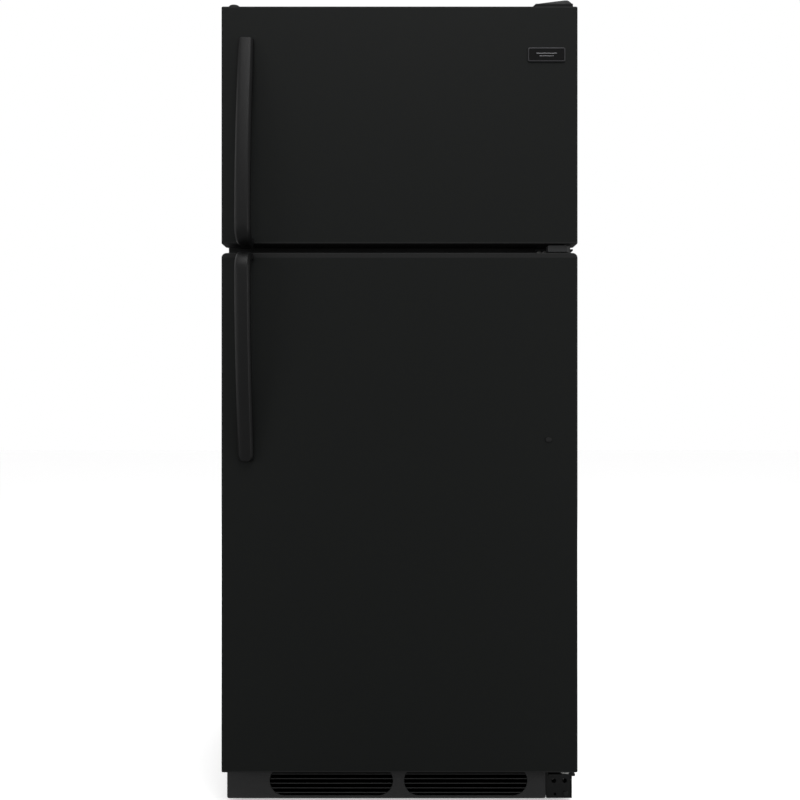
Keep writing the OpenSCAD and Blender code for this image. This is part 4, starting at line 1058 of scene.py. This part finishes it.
def kick_plate():
    """Toe grille with two round-ended vents, their sloped slats and the upright ribs behind them."""
    lo, hi = box_of("toe_grille")
    half, r, zc = 135, 32, 46
    centres = (-149.4, 144.8)
    slats, slat_low, slat_pitch = 5, 15.6, 10.1
    holes = [round_rect(x - half, zc - r, x + half, zc + r, r - 0.01, 14) for x in centres]
    face = plate([round_rect(lo.x, lo.z, hi.x, hi.z, 4, 5)] + holes, xz, lo.y, lo.y + 3, 0.9)
    wrap = pan((lo.x, lo.z), (hi.x, hi.z), 4, [(0.4, lo.y + 2), (0.4, hi.y), (3, hi.y), (3, lo.y + 2)], "y")
    parts = [face, wrap]
    for x in centres:
        collar = sweep(round_rect(x - half, zc - r, x + half, zc + r, r - 0.01, 14),
                       [(-0.4, lo.y + 1.5), (0.9, lo.y + 2.6), (1.6, lo.y + 7),
                        (-1.6, lo.y + 7)], xz, closed=True)
        parts.append(collar)
        for i in range(slats):
            z = slat_low + slat_pitch * (i + 0.5)
            reach = half - r + math.sqrt(r * r - (z - zc) ** 2) - 0.6
            bar = [(lo.y + 1.8, z - 1.4), (lo.y + 1.8, z + 0.2), (lo.y + 2.4, z + 0.8),
                   (lo.y + 8, z + 2.6), (lo.y + 8, z + 1.0)]
            parts.append(loft([[Vector((x + s * reach, y, h)) for y, h in bar] for s in (-1, 1)]))
    # backing sheet behind both vents: painted shade, a dark sheet standing in for the shadowed air path
    # behind the grille
    parts.append(slab((lo.x + 3, lo.y + 15, lo.z + 2), (hi.x - 3, lo.y + 16.5, hi.z - 2), 0.5, "y"))
    make("kick_plate", join(parts), "cabinet", "grille plastic", "grille_plastic", "toe_grille")
    rib = slab((-1.4, 0, -r + 1), (1.4, 5, r - 1), 0.5)
    ribs = [row(rib, (x - 68, lo.y + 4.5, zc), (68, 0, 0), 3, FINISH["grille plastic"]) for x in centres]
    make("kick_plate_ribs", join(ribs), "cabinet", "grille plastic", "grille_plastic")


top_hinge()
middle_hinge()
lower_hinge()
hinge_screws()
kick_plate()

# ---------------------------------------------------------------- cabinet

WIN = HALF_CAB - 25
HOLE_PLUG_X = -353.5


def screws(places, axis, finish="plated steel"):
    """Pan-head screws with a cross recess, all pointing the same way."""
    head = lathe([(4.6, -0.2), (4.6, 0.6), (3.9, 1.7), (2.4, 2.2),
                  (0.1, 2.3)], (0, 0, 0), axis, 20)
    across = Vector(axis).orthogonal().normalized()
    other = Vector(axis).cross(across)
    slots = []
    for a, b in ((across, other), (other, across)):
        ring = [a * 2.4 + b * 0.35, a * 2.4 - b * 0.35, -a * 2.4 - b * 0.35,
                -a * 2.4 + b * 0.35]
        slots.append(loft([[p + Vector(axis) * h for p in ring] for h in (1.6, 2.36)]))
    return at_places(join([head] + slots), places, FINISH[finish])


def cabinet_wrap():
    """One painted sheet bent over sides and top, its front flange, and plugs in the spare hinge holes."""
    z0 = shell_lo.z
    corners = [(HALF_CAB, 0, z0), (HALF_CAB, 0, CAB_TOP), (-HALF_CAB, 0, CAB_TOP), (-HALF_CAB, 0, z0)]
    path = [(p.x, p.z) for p in fillet(corners, 7, 8)]
    t, y1 = 1.2, shell_hi.y
    wrap = sweep(path, [(0, Y_CAB + 2), (0.6, Y_CAB + 0.6), (2.2, Y_CAB + 0.2), (2.2, Y_CAB + 1.2),
                        (t, Y_CAB + 2), (t, y1), (0, y1)], xz)
    flat = [(HALF_CAB - 2, z0), (HALF_CAB - 2, CAB_TOP - 2), (-HALF_CAB + 2, CAB_TOP - 2),
            (-HALF_CAB + 2, z0)]
    flange = sweep(flat, [(0, Y_CAB + 0.2), (23, Y_CAB + 0.2), (23, Y_CAB + 1.3), (0, Y_CAB + 1.3)], xz)
    make("cabinet_wrap", join([wrap, flange]), "cabinet", "cabinet enamel", "black_enamel", "cabinet_shell")
    x = HOLE_PLUG_X
    caps = [slab((x - 5, y - 5, CAB_TOP), (x + 5, y + 5, CAB_TOP + 1.6), 1.2, "z", 4.9)
            for y in (Y_CAB + 20, Y_CAB + 42, Y_CAB + 64)]
    make("cabinet_hole_plugs", join(caps), "cabinet", "cap plastic", "black_plastic")


def cabinet_back():
    """Galvanised back with four pressed beads, a hem and its screws."""
    lo, hi = box_of("cabinet_back_panel")
    sheet = slab((lo.x + 1, lo.y, lo.z), (hi.x - 1, hi.y - 0.3, hi.z - 1), 0.4, "y", 2)
    beads = []
    for x0, x1 in ((-330, -20), (20, 330)):
        for z_low, z_high in ((300, 980), (1020, 1690)):
            path = round_rect(x0, z_low, x1, z_high, 30, 8)
            beads.append(sweep(path, [(-7, hi.y - 0.8), (-4, hi.y + 0.9), (0, hi.y + 1.7),
                                      (4, hi.y + 0.9), (7, hi.y - 0.8)], xz, closed=True))
    hem = sweep(round_rect(lo.x + 1, lo.z, hi.x - 1, hi.z - 1, 2, 3),
                [(0, hi.y - 0.5), (0, hi.y + 0.6), (10, hi.y + 0.6), (11, hi.y - 0.5)], xz, closed=True)
    make("rear_panel", join([sheet, hem] + beads), "cabinet", "galvanised", "zinc_steel",
         "cabinet_back_panel")
    edge = [(x, hi.y + 0.6, z) for x in (-371.5, 371.5) for z in (290, 520, 750, 980, 1210, 1440, 1670)]
    edge += [(x, hi.y + 0.6, hi.z - 7) for x in (-240, -80, 80, 240)]
    make("rear_panel_screws", screws(edge, (0, 1, 0)), "cabinet", "plated steel", "zinc_steel")
    paint("foam_insulation", "foam")
    paint("base_frame", "frame paint")


def mullion():
    """Rail between the two compartments."""
    lo, hi = box_of("center_rail")
    rail = slab(lo, hi, 0.4)
    step = slab((lo.x, lo.y - 0.5, lo.z + 9), (hi.x, lo.y + 0.5, lo.z + 13), 0.4)
    make("mullion_rail", join([rail, step]), "cabinet", "hinge paint", "hinge_steel", "center_rail")


def liner(node, points, half, cove, opening, flange_box, ledges):
    """Vacuum-formed compartment: one bent sheet, two side walls and soft moulded inner corners."""
    t = 2
    path = [(p.x, p.y) for p in fillet([(u, v, 0) for u, v in points], cove, 7)]
    sheet = sweep(path, [(0, -half), (0, half), (-t, half), (-t, -half)], yz)
    parts = [sheet]
    for s in (-1, 1):
        corner = [(cove * (1 - math.sin(math.radians(a))),
                   s * (half - cove * (1 - math.cos(math.radians(a))))) for a in range(0, 91, 15)]
        parts.append(sweep(path, [(-1, s * (half - cove))] + list(reversed(corner))
                           + [(cove, s * (half + t)), (-1, s * (half + t))], yz))
        parts.append(plate([path], yz, s * half, s * (half + t), 0.2))
    hole = round_rect(-half, opening[0], half, opening[1], 18, 7)
    outer = [(flange_box[0].x, flange_box[0].z), (flange_box[1].x, flange_box[0].z),
             (flange_box[1].x, flange_box[1].z), (flange_box[0].x, flange_box[1].z)]
    parts.append(plate([outer, hole], xz, flange_box[0].y, flange_box[0].y + 1.4, 0.5))
    for z, y_from, y_to in ledges:
        for s in (-1, 1):
            a, b = sorted((s * (half - 12), s * (half + 1)))
            parts.append(slab((a, y_from, z - 9), (b, y_to, z - 0.3), 2.5))
    make(node + "_moulding", join(parts), "cabinet", "liner", "liner_plastic", node)


def compartments():
    """Both inner liners; the fridge's steps up over the machine compartment."""
    half, y1 = HALF_CAB - 52, box_of("freezer_liner")[1].y - 2
    z0, z1 = GAP_Z + 35, CAB_TOP - 55
    front = Y_CAB + 1
    flange = (Vector((-WIN, Y_CAB, z0 - 10)), Vector((WIN, Y_CAB, CAB_TOP - 25)))
    shelf_z = box_of("freezer_shelf")[0].z
    liner("freezer_liner", [(front, z1), (y1, z1), (y1, z0), (front, z0)][::-1], half, 16, (z0, z1), flange,
          [(shelf_z, -150, 285)])
    z0, z1 = 114, GAP_Z - 35
    hump_y, hump_z = 135, 312
    flange = (Vector((-WIN, Y_CAB, 104)), Vector((WIN, Y_CAB, z1 + 10)))
    shelves = sorted({round(b[0].z, 1) for b in solids_of("fridge_shelf_glass")})
    liner("fridge_liner", [(front, z0), (hump_y, z0), (hump_y, hump_z), (y1, hump_z), (y1, z1),
                           (front, z1)], half, 16, (z0, z1), flange, [(z - 7.5, -150, 320)
                                                                      for z in shelves])


cabinet_wrap()
cabinet_back()
mullion()
compartments()

# ---------------------------------------------------------------- freezer inside

def stadium(cx, cz, half, r, turn=0, steps=5):
    """Round-ended slot outline turned about the origin of its centre."""
    points = arc(half - r, 0, r, -90, 90, steps) + arc(-half + r, 0, r, 90, 270, steps)
    c, s = math.cos(turn), math.sin(turn)
    return [(cx + u * c - v * s, cz + u * s + v * c) for u, v in points]


def evaporator_parts():
    """Panel with the fan's ring of slots and the return vents, and what stands behind it."""
    lo, hi = box_of("evaporator_cover")
    fan = box_of("evaporator_fan_blade")
    half, fan_z = hi.x, middle(fan[0].z, fan[1].z)
    holes = []
    for ring, count in ((20, 6), (33, 12), (46, 18)):
        for k in range(count):
            a = 2 * math.pi * (k + 0.5) / count
            holes.append(stadium(ring * math.cos(a), fan_z + ring * math.sin(a), 5, 2.6, a, 4))
    holes += [stadium(i * 36, 1261, 12, 4) for i in range(-7, 8)]
    outline = round_rect(-half, lo.z, half, hi.z, 8)
    face = plate([outline] + holes, xz, lo.y, lo.y + 3, 0.8)
    top = slab((-half, lo.y, hi.z - 3), (half, hi.y, hi.z), 1)
    ring = [(56 + a, lo.y - b) for a, b in ((-4, -0.5), (-2, 2.2), (0, 3), (2, 2.2), (4, -0.5))]
    bezel = loft([[Vector((math.cos(t) * r, y, fan_z + math.sin(t) * r)) for r, y in ring]
                  for t in [2 * math.pi * k / 56 for k in range(56)]], round_trip=True)
    ribs = [slab((x - 1.5, lo.y - 1.2, 1290), (x + 1.5, lo.y + 0.5, 1460), 0.8, "y", 1.2)
            for x in (-240, -120, 120, 240)]
    make("evaporator_panel", join([face, top, bezel] + ribs), "cabinet", "white plastic", "white_plastic",
         "evaporator_cover")
    paint("evaporator_coil", "aluminium")
    paint("defrost_heater", "heater")
    paint("evaporator_fan_motor", "motor")
    paint("evaporator_fan_blade", "fan plastic")


def wire_shelf():
    """Freezer shelf: a bent frame, a dropped front rail and a row of fine wires."""
    lo, hi = box_of("freezer_shelf")
    r = 3
    rim = round_rect(lo.x + r, lo.y + r, hi.x - r, hi.y - r, 10, 6)
    frame_bar = sweep(rim, circle(0, lo.z + r, r, 10), xy, closed=True)
    mid = tube([(lo.x + r, 47, lo.z + r), (hi.x - r, 47, lo.z + r)], r * 0.9)
    drop = tube([(lo.x + 3, lo.y + r, lo.z - 9), (hi.x - 3, lo.y + r, lo.z - 9)], 2.4)
    posts = [tube([(x, lo.y + r, lo.z + r), (x, lo.y + r, lo.z - 9)], 2.2) for x in range(-300, 301, 150)]
    wires = rods((lo.x + 14, lo.y + r, hi.z - 1.4), (12.4, 0, 0), 50, (0, hi.y - lo.y - 2 * r, 0), 1.3,
                 FINISH["white wire"])
    make("freezer_wire_shelf", join([frame_bar, mid, drop, wires] + posts), "cabinet", "white wire",
         "wire_white", "freezer_shelf")


# ---------------------------------------------------------------- fridge inside

def glass_shelves():
    """Two glass sheets in moulded rims, and the two rails that carry the deli drawer."""
    lo, hi = box_of("fridge_shelf_frames")
    frames, sheets = [], []
    for glass_lo, glass_hi in solids_of("fridge_shelf_glass"):
        z = glass_lo.z - 7.5
        outer = [(0.8, z), (0, z + 0.8), (0, z + 11), (1, z + 12), (11.5, z + 12),
                 (12, z + 11.7), (12, z + 7.5), (17.5, z + 7.5), (18, z + 7),
                 (18, z)]
        frames.append(sweep(round_rect(lo.x, lo.y, hi.x, hi.y, 10, 6), outer, xy, closed=True))
        front = slab((lo.x + 3, lo.y, z - 1.5), (hi.x - 3, lo.y + 22, z + 12.2), 2.5, "x")
        frames.append(front)
        sheets.append(slab((glass_lo.x + 0.3, lo.y + 22.3, glass_lo.z + 0.2),
                           (glass_hi.x - 0.3, glass_hi.y - 0.3, glass_hi.z - 0.1), 0.6, "z", 3))
    y0, y1 = -106, 250
    for x_out, x_in in ((-302, -291.5), (2, -8.5)):
        a, b = sorted((x_out, x_in))
        post = sorted((x_out, (x_out + (3 if x_in > x_out else -3))))
        frames.append(slab((post[0], y0, 616), (post[1], y1, 641), 0.8))
        frames.append(slab((a, y0, 614), (b, y1, 617), 0.8))
    make("shelf_rims", join(frames), "cabinet", "white plastic", "white_plastic", "fridge_shelf_frames")
    make("shelf_sheets", join(sheets), "cabinet", "shelf glass", "shelf_glass", "fridge_shelf_glass")


def crisper_lid():
    """Lid over both crispers, with the slots of the humidity sliders in its front rail."""
    lo, hi = box_of("crisper_cover")
    rail_y = lo.y + 10
    slots = [stadium(s * 165, lo.z + 9, 36, 2.95) for s in (-1, 1)]
    rail = plate([round_rect(lo.x, lo.z, hi.x, hi.z, 4)] + slots, xz, lo.y, rail_y, 1.5)
    lid = pan((lo.x, rail_y - 0.5), (hi.x, hi.y), 10, [
        (1, hi.z - 12), (0, hi.z - 11), (0, hi.z - 1), (1, hi.z), (16, hi.z), (17.5, hi.z - 1),
        (18, hi.z - 7)])
    make("crisper_lid", join([rail, lid]), "cabinet", "white plastic", "white_plastic", "crisper_cover")


def crispers():
    """Left and right crisper, each with its humidity slider."""
    for side in ("left", "right"):
        node = "humidity_slider_" + side
        lo, hi = box_of(node)
        knob = slab((lo.x, lo.y, lo.z), (hi.x, lo.y + 4.6, hi.z), 1.2, "y", 3)
        ridges = [slab((lo.x + x, lo.y - 0.6, lo.z + 2), (lo.x + (x + 1.2), lo.y + 0.5, hi.z - 2), 0.4)
                  for x in (8, 11, 14, 17)]
        mid = middle(lo.x, hi.x)
        stem = slab((mid - 9, lo.y + 4, lo.z + 4.3), (mid + 9, hi.y, lo.z + 9.7), 0.8)
        make("humidity_slide_" + side, join([knob, stem] + ridges), node, "knob", "knob_plastic", node)
        node = "crisper_" + side
        lo, hi = box_of(node)
        front = lo.y + 8
        body = tub(Vector((lo.x, front, lo.z)), hi, 12, 3, 3)
        hook = [(front + 0.5, 26), (front - 6, 27.5), (lo.y, 30), (lo.y, 45.5), (lo.y + 2.4, 46),
                (lo.y + 2.6, 32.5), (front + 0.5, 31)]
        pull = loft([[Vector((x, y, hi.z - h)) for y, h in hook] for x in (lo.x + 20, hi.x - 20)])
        make("crisper_drawer_" + side, join([body, pull]), node, "clear plastic", "clear_plastic", node)


def deli_pan():
    """Shallow drawer that hangs from its two wings."""
    lo, hi = box_of("deli_drawer")
    front = lo.y + 9
    body = tub(Vector((lo.x + 7, front, lo.z)), Vector((hi.x - 7, hi.y, hi.z)), 10, 3, 3)
    wings = [slab((a, front + 4, hi.z - 6), (b, hi.y, hi.z - 3), 0.8)
             for a, b in ((lo.x, lo.x + 9), (hi.x - 9, hi.x))]
    pull = slab((lo.x + 27, lo.y, hi.z - 30), (hi.x - 27, front + 1, hi.z - 24), 1.4)
    make("deli_pan", join([body, pull] + wings), "deli_drawer", "clear plastic", "clear_plastic",
         "deli_drawer")


def control_box():
    """Housing of the two dials, with its vents, the dial marks and the dials themselves."""
    lo, hi = box_of("control_housing")
    knobs = {n: box_of(n) for n in ("fridge_control_knob", "freezer_control_knob")}
    z = middle(*[corner.z for corner in knobs["fridge_control_knob"]])
    centres = [middle(low.x, high.x) for low, high in knobs.values()]
    switch = box_of("light_switch")
    bores = [circle(x, z, 4.3, 24) for x in centres + [middle(switch[0].x, switch[1].x)]]
    face = plate([round_rect(lo.x, lo.z, hi.x, hi.z, 9)] + bores, xz, lo.y, lo.y + 4, 1.4)
    shroud = pan((lo.x, lo.z), (hi.x, hi.z), 9, [(0.5, lo.y + 2), (0.5, hi.y - 3), (3, hi.y), (4, hi.y),
                                                    (4, lo.y + 3)], "y")
    vents = [slab((x, lo.y + 40, lo.z - 0.8), ((x + 5), hi.y - 30, lo.z + 0.5), 0.5, "z", 2)
             for x in (-190, -180, -170, -160, -150, -140)]
    make("control_box", join([face, shroud] + vents), "cabinet", "white plastic", "white_plastic",
         "control_housing")
    marks = []
    for x in centres:
        for k in range(9):
            a = math.radians(210 - 30 * k)
            size = 1.4 if k % 2 else 0.9
            mark = slab((-size * 0.5, -0.15, 18.6), (size * 0.5, 0.12, 21.4), 0.08)
            turn = Matrix.Rotation(math.radians(90) - a, 3, "Y")
            marks.append(moved(mark, (x, lo.y, z), turn))
    make("control_marks", join(marks), "cabinet", "print", "white_plastic")
    for node, (k_lo, k_hi) in knobs.items():
        cx = middle(k_lo.x, k_hi.x)
        skirt = lathe([(4, k_hi.y - k_lo.y), (4, 15.6), (16, 15.6), (16, 12), (14.6, 10), (12.5, 9.4),
                       (0.1, 9.4)], (cx, k_lo.y, z), -FRONT, 48)
        grip = slab((cx - 3.6, k_lo.y, z - 14), (cx + 3.6, k_lo.y + 10.5, z + 14), 1.6, "y", 3.4)
        line = slab((cx - 0.6, k_lo.y - 0.12, z + 3), (cx + 0.6, k_lo.y + 0.3, z + 12.5), 0.1)
        make(node.replace("knob", "dial"), join([skirt, grip]), node, "knob", "knob_plastic", node)
        make(node.replace("knob", "pointer"), line, node, "print", "knob_plastic")


def lamp():
    """Ribbed lens over the bulb and its socket."""
    lo, hi = box_of("light_cover")
    cover = pan((lo.x, lo.y), (hi.x, hi.y), 10, [(0, hi.z), (0, lo.z + 8), (1.5, lo.z + 3), (5, lo.z + 0.6),
                                                 (9, lo.z), (10, lo.z + 2), (3.6, lo.z + 9), (2, hi.z)])
    ribs = row(slab((-1.1, lo.y + 10, lo.z - 0.9), (1.1, hi.y - 10, lo.z + 0.8), 0.6),
               (lo.x + 14, 0, 0), (4.16, 0, 0), 29, FINISH["lens"])
    make("light_lens", join([cover, ribs]), "cabinet", "lens", "lens_plastic", "light_cover")
    mid = (lo + hi) / 2
    bulb = lathe([(0.1, 0), (6, 1.2), (10.5, 5), (12.5, 11), (11.5, 18), (8.5, 25),
                  (7, 31), (7, 34)], (mid.x - 26, mid.y, lo.z + 20), RIGHT, 32)
    socket = lathe([(7.6, 33), (7.6, 45), (11, 45.5), (11, 62)],
                   (mid.x - 26, mid.y, lo.z + 20), RIGHT, 32)
    make("lamp_bulb", bulb, "cabinet", "bulb glass", "lens_plastic")
    make("lamp_socket", socket, "cabinet", "brass", "zinc_steel")


def door_switch():
    """Plunger that the closed door presses in."""
    lo, hi = box_of("light_switch")
    make("door_switch", lathe([(0.1, 0), (2.4, 0.3), (3.6, 1.4), (4, 3), (4, hi.y - lo.y)],
                              (middle(lo.x, hi.x), lo.y, middle(lo.z, hi.z)), -FRONT, 28), "light_switch",
         "white plastic", "white_plastic", "light_switch")


evaporator_parts()
wire_shelf()
glass_shelves()
crisper_lid()
crispers()
deli_pan()
control_box()
lamp()
door_switch()

# ---------------------------------------------------------------- back, machine compartment, feet

def rear_cover():
    """Louvred cover of the machine compartment, its screws and the lead's gland."""
    lo, hi = box_of("rear_cover")
    gland_lo, gland_hi = box_of("cord_gland")
    gx, gz = middle(gland_lo.x, gland_hi.x), middle(gland_lo.z, gland_hi.z)
    louvres = [(x, 74 + 20 * i) for x in (-170, 170) for i in range(8)]
    slots = [stadium(x, z, 110, 4) for x, z in louvres]
    gap = circle(gx, gz, 9.3, 32)
    sheet = plate([round_rect(lo.x, lo.z, hi.x, hi.z, 5)] + slots + [gap], xz, lo.y, hi.y, 0.5)
    hood = [(hi.y - 0.4, 4.4), (hi.y + 2.6, 2.4), (hi.y + 3.2, 1.2), (hi.y + 2.6, 1.4), (hi.y - 0.4, 3.2)]
    hoods = [loft([[Vector((x + s * 106, y, z + h)) for y, h in hood] for s in (-1, 1)]) for x,
             z in louvres]
    make("rear_access_cover", join([sheet] + hoods), "cabinet", "rear sheet", "rear_sheet", "rear_cover")
    places = [(x, hi.y, z) for x in (-360, -20, 20, 360) for z in (lo.z + 8, hi.z - 8)]
    places += [(x, hi.y, 145) for x in (-366, 366)]
    make("rear_cover_screws", screws(places, (0, 1, 0)), "cabinet", "plated steel", "zinc_steel")
    y0, y1 = gland_lo.y, gland_hi.y
    run = y1 - y0
    bush = lathe([(4.6, 0.6), (5.6, 0), (9, 0), (9, 3), (12, 3.2), (12, 5.8), (9, 6),
                  (9, 8), (13, 8), (13, 10.4), (11.6, 11.4), (9, 11.8), (8.4, run),
                  (5.6, run), (4.6, run - 0.8), (4.6, 0.6)], (gx, y0, gz), (0, 1, 0), 48)
    make("lead_gland", bush, "cabinet", "rubber", "black_plastic", "cord_gland")


def compressor():
    """Two-part steel housing on a foot plate with grommets and bolts, its relay box and tubes."""
    lo, hi = box_of("compressor")
    cx, cy, deck = middle(lo.x, hi.x), middle(lo.y, hi.y), lo.z
    bowl = [(0.1, 14), (40, 14), (60, 15), (72, 19), (79, 26), (82, 36), (82, 76), (83, 78.5), (86.4, 79.4),
            (87, 81), (87, 83), (86.2, 84.6), (83, 85.6), (82, 88), (82, 122), (81, 134), (78.5, 145),
            (73, 153.5), (64, 160), (50, 164), (30, 165.6), (0.1, 166)]
    shell = lathe(bowl, (cx, cy, deck), UP, 64)
    plate_mesh = slab((cx - 88, cy - 70, deck + 11), (cx + 88, cy + 70, deck + 15), 1.2, "z", 14)
    lugs = [slab((cx - 84, cy - 5, deck + 122), (cx - 78, cy + 5, deck + 128), 1)]
    make("compressor_housing", join([shell, plate_mesh] + lugs), "cabinet", "compressor paint",
         "compressor_black", "compressor")
    corners = [(cx + x, cy + y) for x in (-76, 76) for y in (-58, 58)]
    grommet = lathe([(3, 0), (10, 0), (11, 1), (11, 9.6), (9, 11), (9, 15.4), (11, 16), (10, 18.6),
                     (3, 19), (3, 0)], (0, 0, 0), UP, 28)
    make("compressor_grommets", at_places(grommet, [(x, y, deck) for x, y in corners], FINISH["rubber"]),
         "cabinet", "rubber", "compressor_black")
    bolt = lathe([(2.6, -1), (2.6, 19), (7, 19), (7, 20.2), (5, 20.4), (5, 24), (4.2, 24.6), (0.1, 24.6)],
                 (0, 0, 0), UP, 24)
    make("compressor_bolts", at_places(bolt, [(x, y, deck) for x, y in corners], FINISH["plated steel"]),
         "cabinet", "plated steel", "zinc_steel")
    box = slab((cx - 100, cy - 26, deck + 44), (cx - 76, cy + 26, deck + 108), 3, "x", 6)
    clip = slab((cx - 102, cy - 29, deck + 72), (cx - 74, cy + 29, deck + 78), 1)
    make("compressor_relay_box", join([box, clip]), "cabinet", "cap plastic", "compressor_black")
    pipes = [tube(fillet([(cx + 60, cy + 40, deck + 100), (cx + 84, cy + 62, deck + 100),
                          (cx + 84, cy + 62, deck + 190), (cx + 84, cy - 90, deck + 190),
                          (cx + 84, cy - 111, deck + 190)], 18, 8), 4, 14),
             tube(fillet([(cx - 10, cy - 70, deck + 100), (cx - 10, cy - 96, deck + 100),
                          (cx - 10, cy - 96, deck + 178), (cx - 140, cy - 96, deck + 178),
                          (-50, cy - 78, 215)], 16, 8), 3, 14),
             tube(fillet([(cx + 40, cy - 64, deck + 60), (cx + 56, cy - 92, deck + 60),
                          (cx + 56, cy - 92, deck + 20), (cx + 20, cy - 92, deck + 20)], 9, 6), 3, 14)]
    make("refrigerant_tubes", join(pipes), "cabinet", "copper", "motor_metal")
    paint("condenser_coil", "condenser coat")


def condenser_fan():
    """Fan shroud, and the motor on its bracket."""
    lo, hi = box_of("condenser_fan_motor")
    fan_lo, fan_hi = box_of("condenser_fan_blade")
    fy, fz = middle(fan_lo.y, fan_hi.y), middle(fan_lo.z, fan_hi.z)
    ring = circle(fy, fz, 73, 64)
    shroud = plate([round_rect(lo.y, lo.z, hi.y, hi.z, 3), ring], yz, 22, 25, 0.8)
    lip = loft([[Vector((x, fy + r * math.cos(a), fz + r * math.sin(a))) for x, r in
                 ((24.6, 72.9), (19, 73.4), (18.4, 74.2), (19, 75), (24.6, 76))]
                for a in [2 * math.pi * k / 64 for k in range(64)]], round_trip=True)
    make("fan_shroud", join([shroud, lip]), "cabinet", "cap plastic", "motor_metal")
    can = lathe([(3.2, 0), (30, 0), (32, 2), (32, 19), (33, 20), (33, 24), (32, 25), (32, 42),
                 (30, 44), (8, 44), (3.2, 43), (3.2, 0)], (48, fy, fz), RIGHT, 48)
    arms = [slab((66, fy - 96, fz - 6), (69, fy + 96, fz + 6), 0.8, "x", 3)]
    arms += [slab((25, fy + s * 90 - 6, fz - 6), (69, fy + s * 90 - 3, fz + 6), 0.8) for s in (-1, 1)]
    make("condenser_motor", join([can] + arms), "cabinet", "motor", "motor_metal", "condenser_fan_motor")
    paint("condenser_fan_blade", "fan plastic")


def condensate_pan():
    """Open pan that catches the defrost water."""
    lo, hi = box_of("drain_pan")
    make("condensate_pan", tub(lo, hi, 14, 2.5, 3), "cabinet", "cap plastic", "black_plastic", "drain_pan")


def feet():
    """Levelling legs with their threads in front, rollers behind."""
    for side in ("left", "right"):
        node = "front_leg_" + side
        lo, hi = box_of(node)
        cx, cy = middle(lo.x, hi.x), middle(lo.y, hi.y)
        pad = [(0.1, 0), (16.6, 0), (18, 1.2), (18, 5), (16, 7.2), (11, 8), (8, 8), (7.2, 9)]
        turns = 22
        pitch = (hi.z - 10 - lo.z) / turns
        thread = []
        for k in range(turns):
            h = 9.4 + k * pitch
            thread += [(7.1, h), (8.0, h + 0.42 * pitch), (8.0, h + 0.58 * pitch)]
        tip = [(7.1, hi.z - lo.z - 0.6), (6.2, hi.z - lo.z), (0.1, hi.z - lo.z)]
        make("levelling_leg_" + side, lathe(pad + thread + tip, (cx, cy, lo.z), UP, 40), node,
             "plated steel", "zinc_steel", node)
        node = "rear_roller_" + side
        lo, hi = box_of(node)
        cy, cz, w = middle(lo.y, hi.y), middle(lo.z, hi.z), hi.x - lo.x
        r = (hi.z - lo.z) / 2
        wheel = [(4.1, 0), (8, 0), (8.6, 1.4), (14.6, 1.8), (15.4, 0.2), (r - 1.6, 0.2), (r, 1.8),
                 (r, w - 1.8), (r - 1.6, w - 0.2), (15.4, w - 0.2), (14.6, w - 1.8), (8.6, w - 1.4),
                 (8, w), (4.1, w), (4.1, 0)]
        make("rear_wheel_" + side, lathe(wheel, (lo.x, cy, cz), RIGHT, 48), node, "rubber",
             "roller_plastic", node)


rear_cover()
compressor()
condenser_fan()
condensate_pan()
feet()
